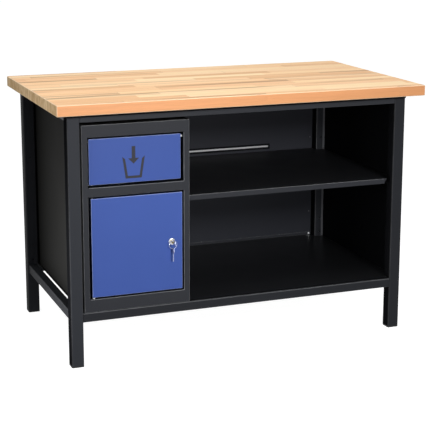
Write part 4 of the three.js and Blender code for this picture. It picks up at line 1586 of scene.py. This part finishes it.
@dataclass
class WasteBin:
    """Galvanised bin with round corners and a rolled rim."""

    corner: float = 14 * MM
    rim: float = 10 * MM
    wall: float = 1.2 * MM
    roll: float = 7 * MM
    bend: float = 2 * MM

    def build(self) -> None:
        """Models and dresses the bin."""
        low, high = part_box("waste_bin")
        edge = Vector((self.rim, self.rim, 0))
        body = Piece.box("galvanised_bin", low + edge, high - edge)
        with body.editing():
            body.select(Element.EDGE, lambda edge: abs(edge.verts[0].co.z - edge.verts[1].co.z) > MM)
            body.round_edges(self.corner, 6)
            body.delete_where(lambda face: face.normal.z > SQUARE)
            body.select_edges_at(z=high.z)
            span = high - low
            body.draw_edges((0, 0, 0))
            body.scale((span.x / (span.x - 2 * self.rim), span.y / (span.y - 2 * self.rim), 1.0),
                       (low + high) / 2)
            body.draw_edges((0, 0, -self.roll))
            body.face_out((0, 0, -1))
        body.bend(self.bend, 3, self.wall)
        body.dress(SPANGLED, "waste_bin", slot=Slot.BIN)


@dataclass(frozen=True)
class SoftBox:
    """A lamp with a flat face that looks at a point, and a grid that narrows it to so many degrees."""

    name: str
    place: tuple[float, float, float]
    target: tuple[float, float, float]
    width: float
    height: float
    power: float
    spread: float = 180.0

    def hang(self) -> None:
        """Adds the lamp to the scene."""
        lamp = bpy.data.lights.new(self.name, "AREA")
        lamp.shape = "RECTANGLE"
        lamp.size = self.width
        lamp.size_y = self.height
        lamp.energy = self.power
        lamp.spread = math.radians(self.spread)
        holder = bpy.data.objects.new(self.name, lamp)
        holder.location = self.place
        aim = Vector(self.target) - Vector(self.place)
        holder.rotation_euler = aim.to_track_quat("-Z", "Y").to_euler()
        bpy.context.scene.collection.objects.link(holder)


@dataclass
class Studio:
    """Pale floor, plain soft light and a camera at the photograph's viewpoint."""

    camera_place: tuple[float, float, float] = (-1.5432, -4.0584, 1.4581)
    camera_turn: float = 20.989
    camera_dip: float = 12.410
    camera_roll: float = 0.081
    focal_pixels: float = 1290.7
    picture_pixels: float = 430.0
    sensor: float = 36.0
    shift_up: float = -0.08
    far_end: float = 200.0
    floor_half: float = 60.0
    floor_tone: float = 0.40
    floor_bounce: float = 0.10
    floor_glow: float = 0.94
    sky_light: float = 0.21
    lamps: tuple[SoftBox, ...] = (
        SoftBox("key", (0.40, -3.6, 1.85), (-0.4, -0.3, 0.7), 0.45, 0.45, 19.3, 90.0),
        SoftBox("front", (0.0, -3.6, 1.05), (-0.3, -0.3, 0.7), 1.0, 0.6, 8.0, 90.0),
        SoftBox("fill", (-3.0, -1.1, 0.95), (-0.6, -0.2, 0.6), 1.0, 1.0, 2.2, 60.0),
        SoftBox("low_fill", (-2.4, -0.28, 0.22), (-0.58, -0.22, 0.30), 0.4, 0.4, 2.0, 26.0),
        SoftBox("overhead", (-0.35, -0.4, 3.4), (-0.15, 0.0, 0.8), 2.6, 2.6, 54.0),
    )

    def build(self) -> None:
        """Makes the floor, the lights, the sky and the camera."""
        self._floor()
        self._sky()
        for lamp in self.lamps:
            lamp.hang()
        self._camera()
        bpy.context.scene.view_settings.view_transform = "Standard"

    @staticmethod
    def _seen(graph: Graph) -> Value:
        """1 for light that reaches the eye straight, by a mirror or through glass, and otherwise 0."""
        names = ("Is Camera Ray", "Is Glossy Ray", "Is Transmission Ray")
        camera, glossy, through = (graph.node("ShaderNodeLightPath", output=name) for name in names)
        return camera.larger(glossy).larger(through)

    def _floor(self) -> None:
        """A wide pale floor that keeps the bench's shadow."""
        half = self.floor_half
        floor = Piece.sheet("floor", (-half, -half, 0), (half, half, 0))
        material = bpy.data.materials.new("pale_floor")
        material.use_nodes = True
        graph = Graph(material.node_tree)
        seen = self._seen(graph)
        tone = self.floor_bounce + seen * (self.floor_tone - self.floor_bounce)
        diffuse = graph.node("ShaderNodeBsdfDiffuse", inputs={"Color": graph.grey(tone)})
        glow = graph.node("ShaderNodeEmission", inputs={"Color": graph.grey(seen * self.floor_glow)})
        shader = graph.node("ShaderNodeAddShader", inputs={0: diffuse, 1: glow})
        graph.finish("ShaderNodeOutputMaterial", shader)
        floor.obj.data.materials.append(material)

    def _sky(self) -> None:
        """An even white sky, which is full white where it is seen."""
        world = bpy.data.worlds.new("plain_sky")
        world.use_nodes = True
        bpy.context.scene.world = world
        graph = Graph(world.node_tree)
        level = self._seen(graph).larger(self.sky_light)
        sky = graph.node("ShaderNodeBackground", inputs={"Color": graph.grey(level)})
        graph.finish("ShaderNodeOutputWorld", sky)

    def _camera(self) -> None:
        """The camera, turned to the right of the bench's depth and dipped below the horizon."""
        turn, dip, roll = (math.radians(a) for a in (self.camera_turn, self.camera_dip, self.camera_roll))
        ahead = Vector((math.sin(turn) * math.cos(dip), math.cos(turn) * math.cos(dip), -math.sin(dip)))
        level = Vector((math.cos(turn), -math.sin(turn), 0.0))
        upright = level.cross(ahead)
        right = level * math.cos(roll) + upright * math.sin(roll)
        up = upright * math.cos(roll) - level * math.sin(roll)
        lens = bpy.data.cameras.new("viewpoint")
        lens.sensor_width = self.sensor
        lens.lens = self.focal_pixels / self.picture_pixels * self.sensor
        lens.shift_y = self.shift_up
        lens.clip_end = self.far_end
        holder = bpy.data.objects.new("viewpoint", lens)
        turned = Matrix((right, up, -ahead)).transposed().to_4x4()
        holder.matrix_world = Matrix.Translation(self.camera_place) @ turned
        bpy.context.scene.collection.objects.link(holder)
        bpy.context.scene.camera = holder


def main() -> None:
    """Builds the sub-assemblies in order, then the studio round them."""
    logging.basicConfig(level=logging.INFO, format="%(name)s: %(message)s")
    assemblies = (Worktop(), TubeFrame(), Panels(), Shelves(), CabinetShell(), FrontFrame(), Door(),
                  CamLock(), WasteFlap(), WasteBin(), Studio())
    for assembly in assemblies:
        assembly.build()
        LOG.info("%s is built", type(assembly).__name__)


if __name__ == "__main__":
    main()
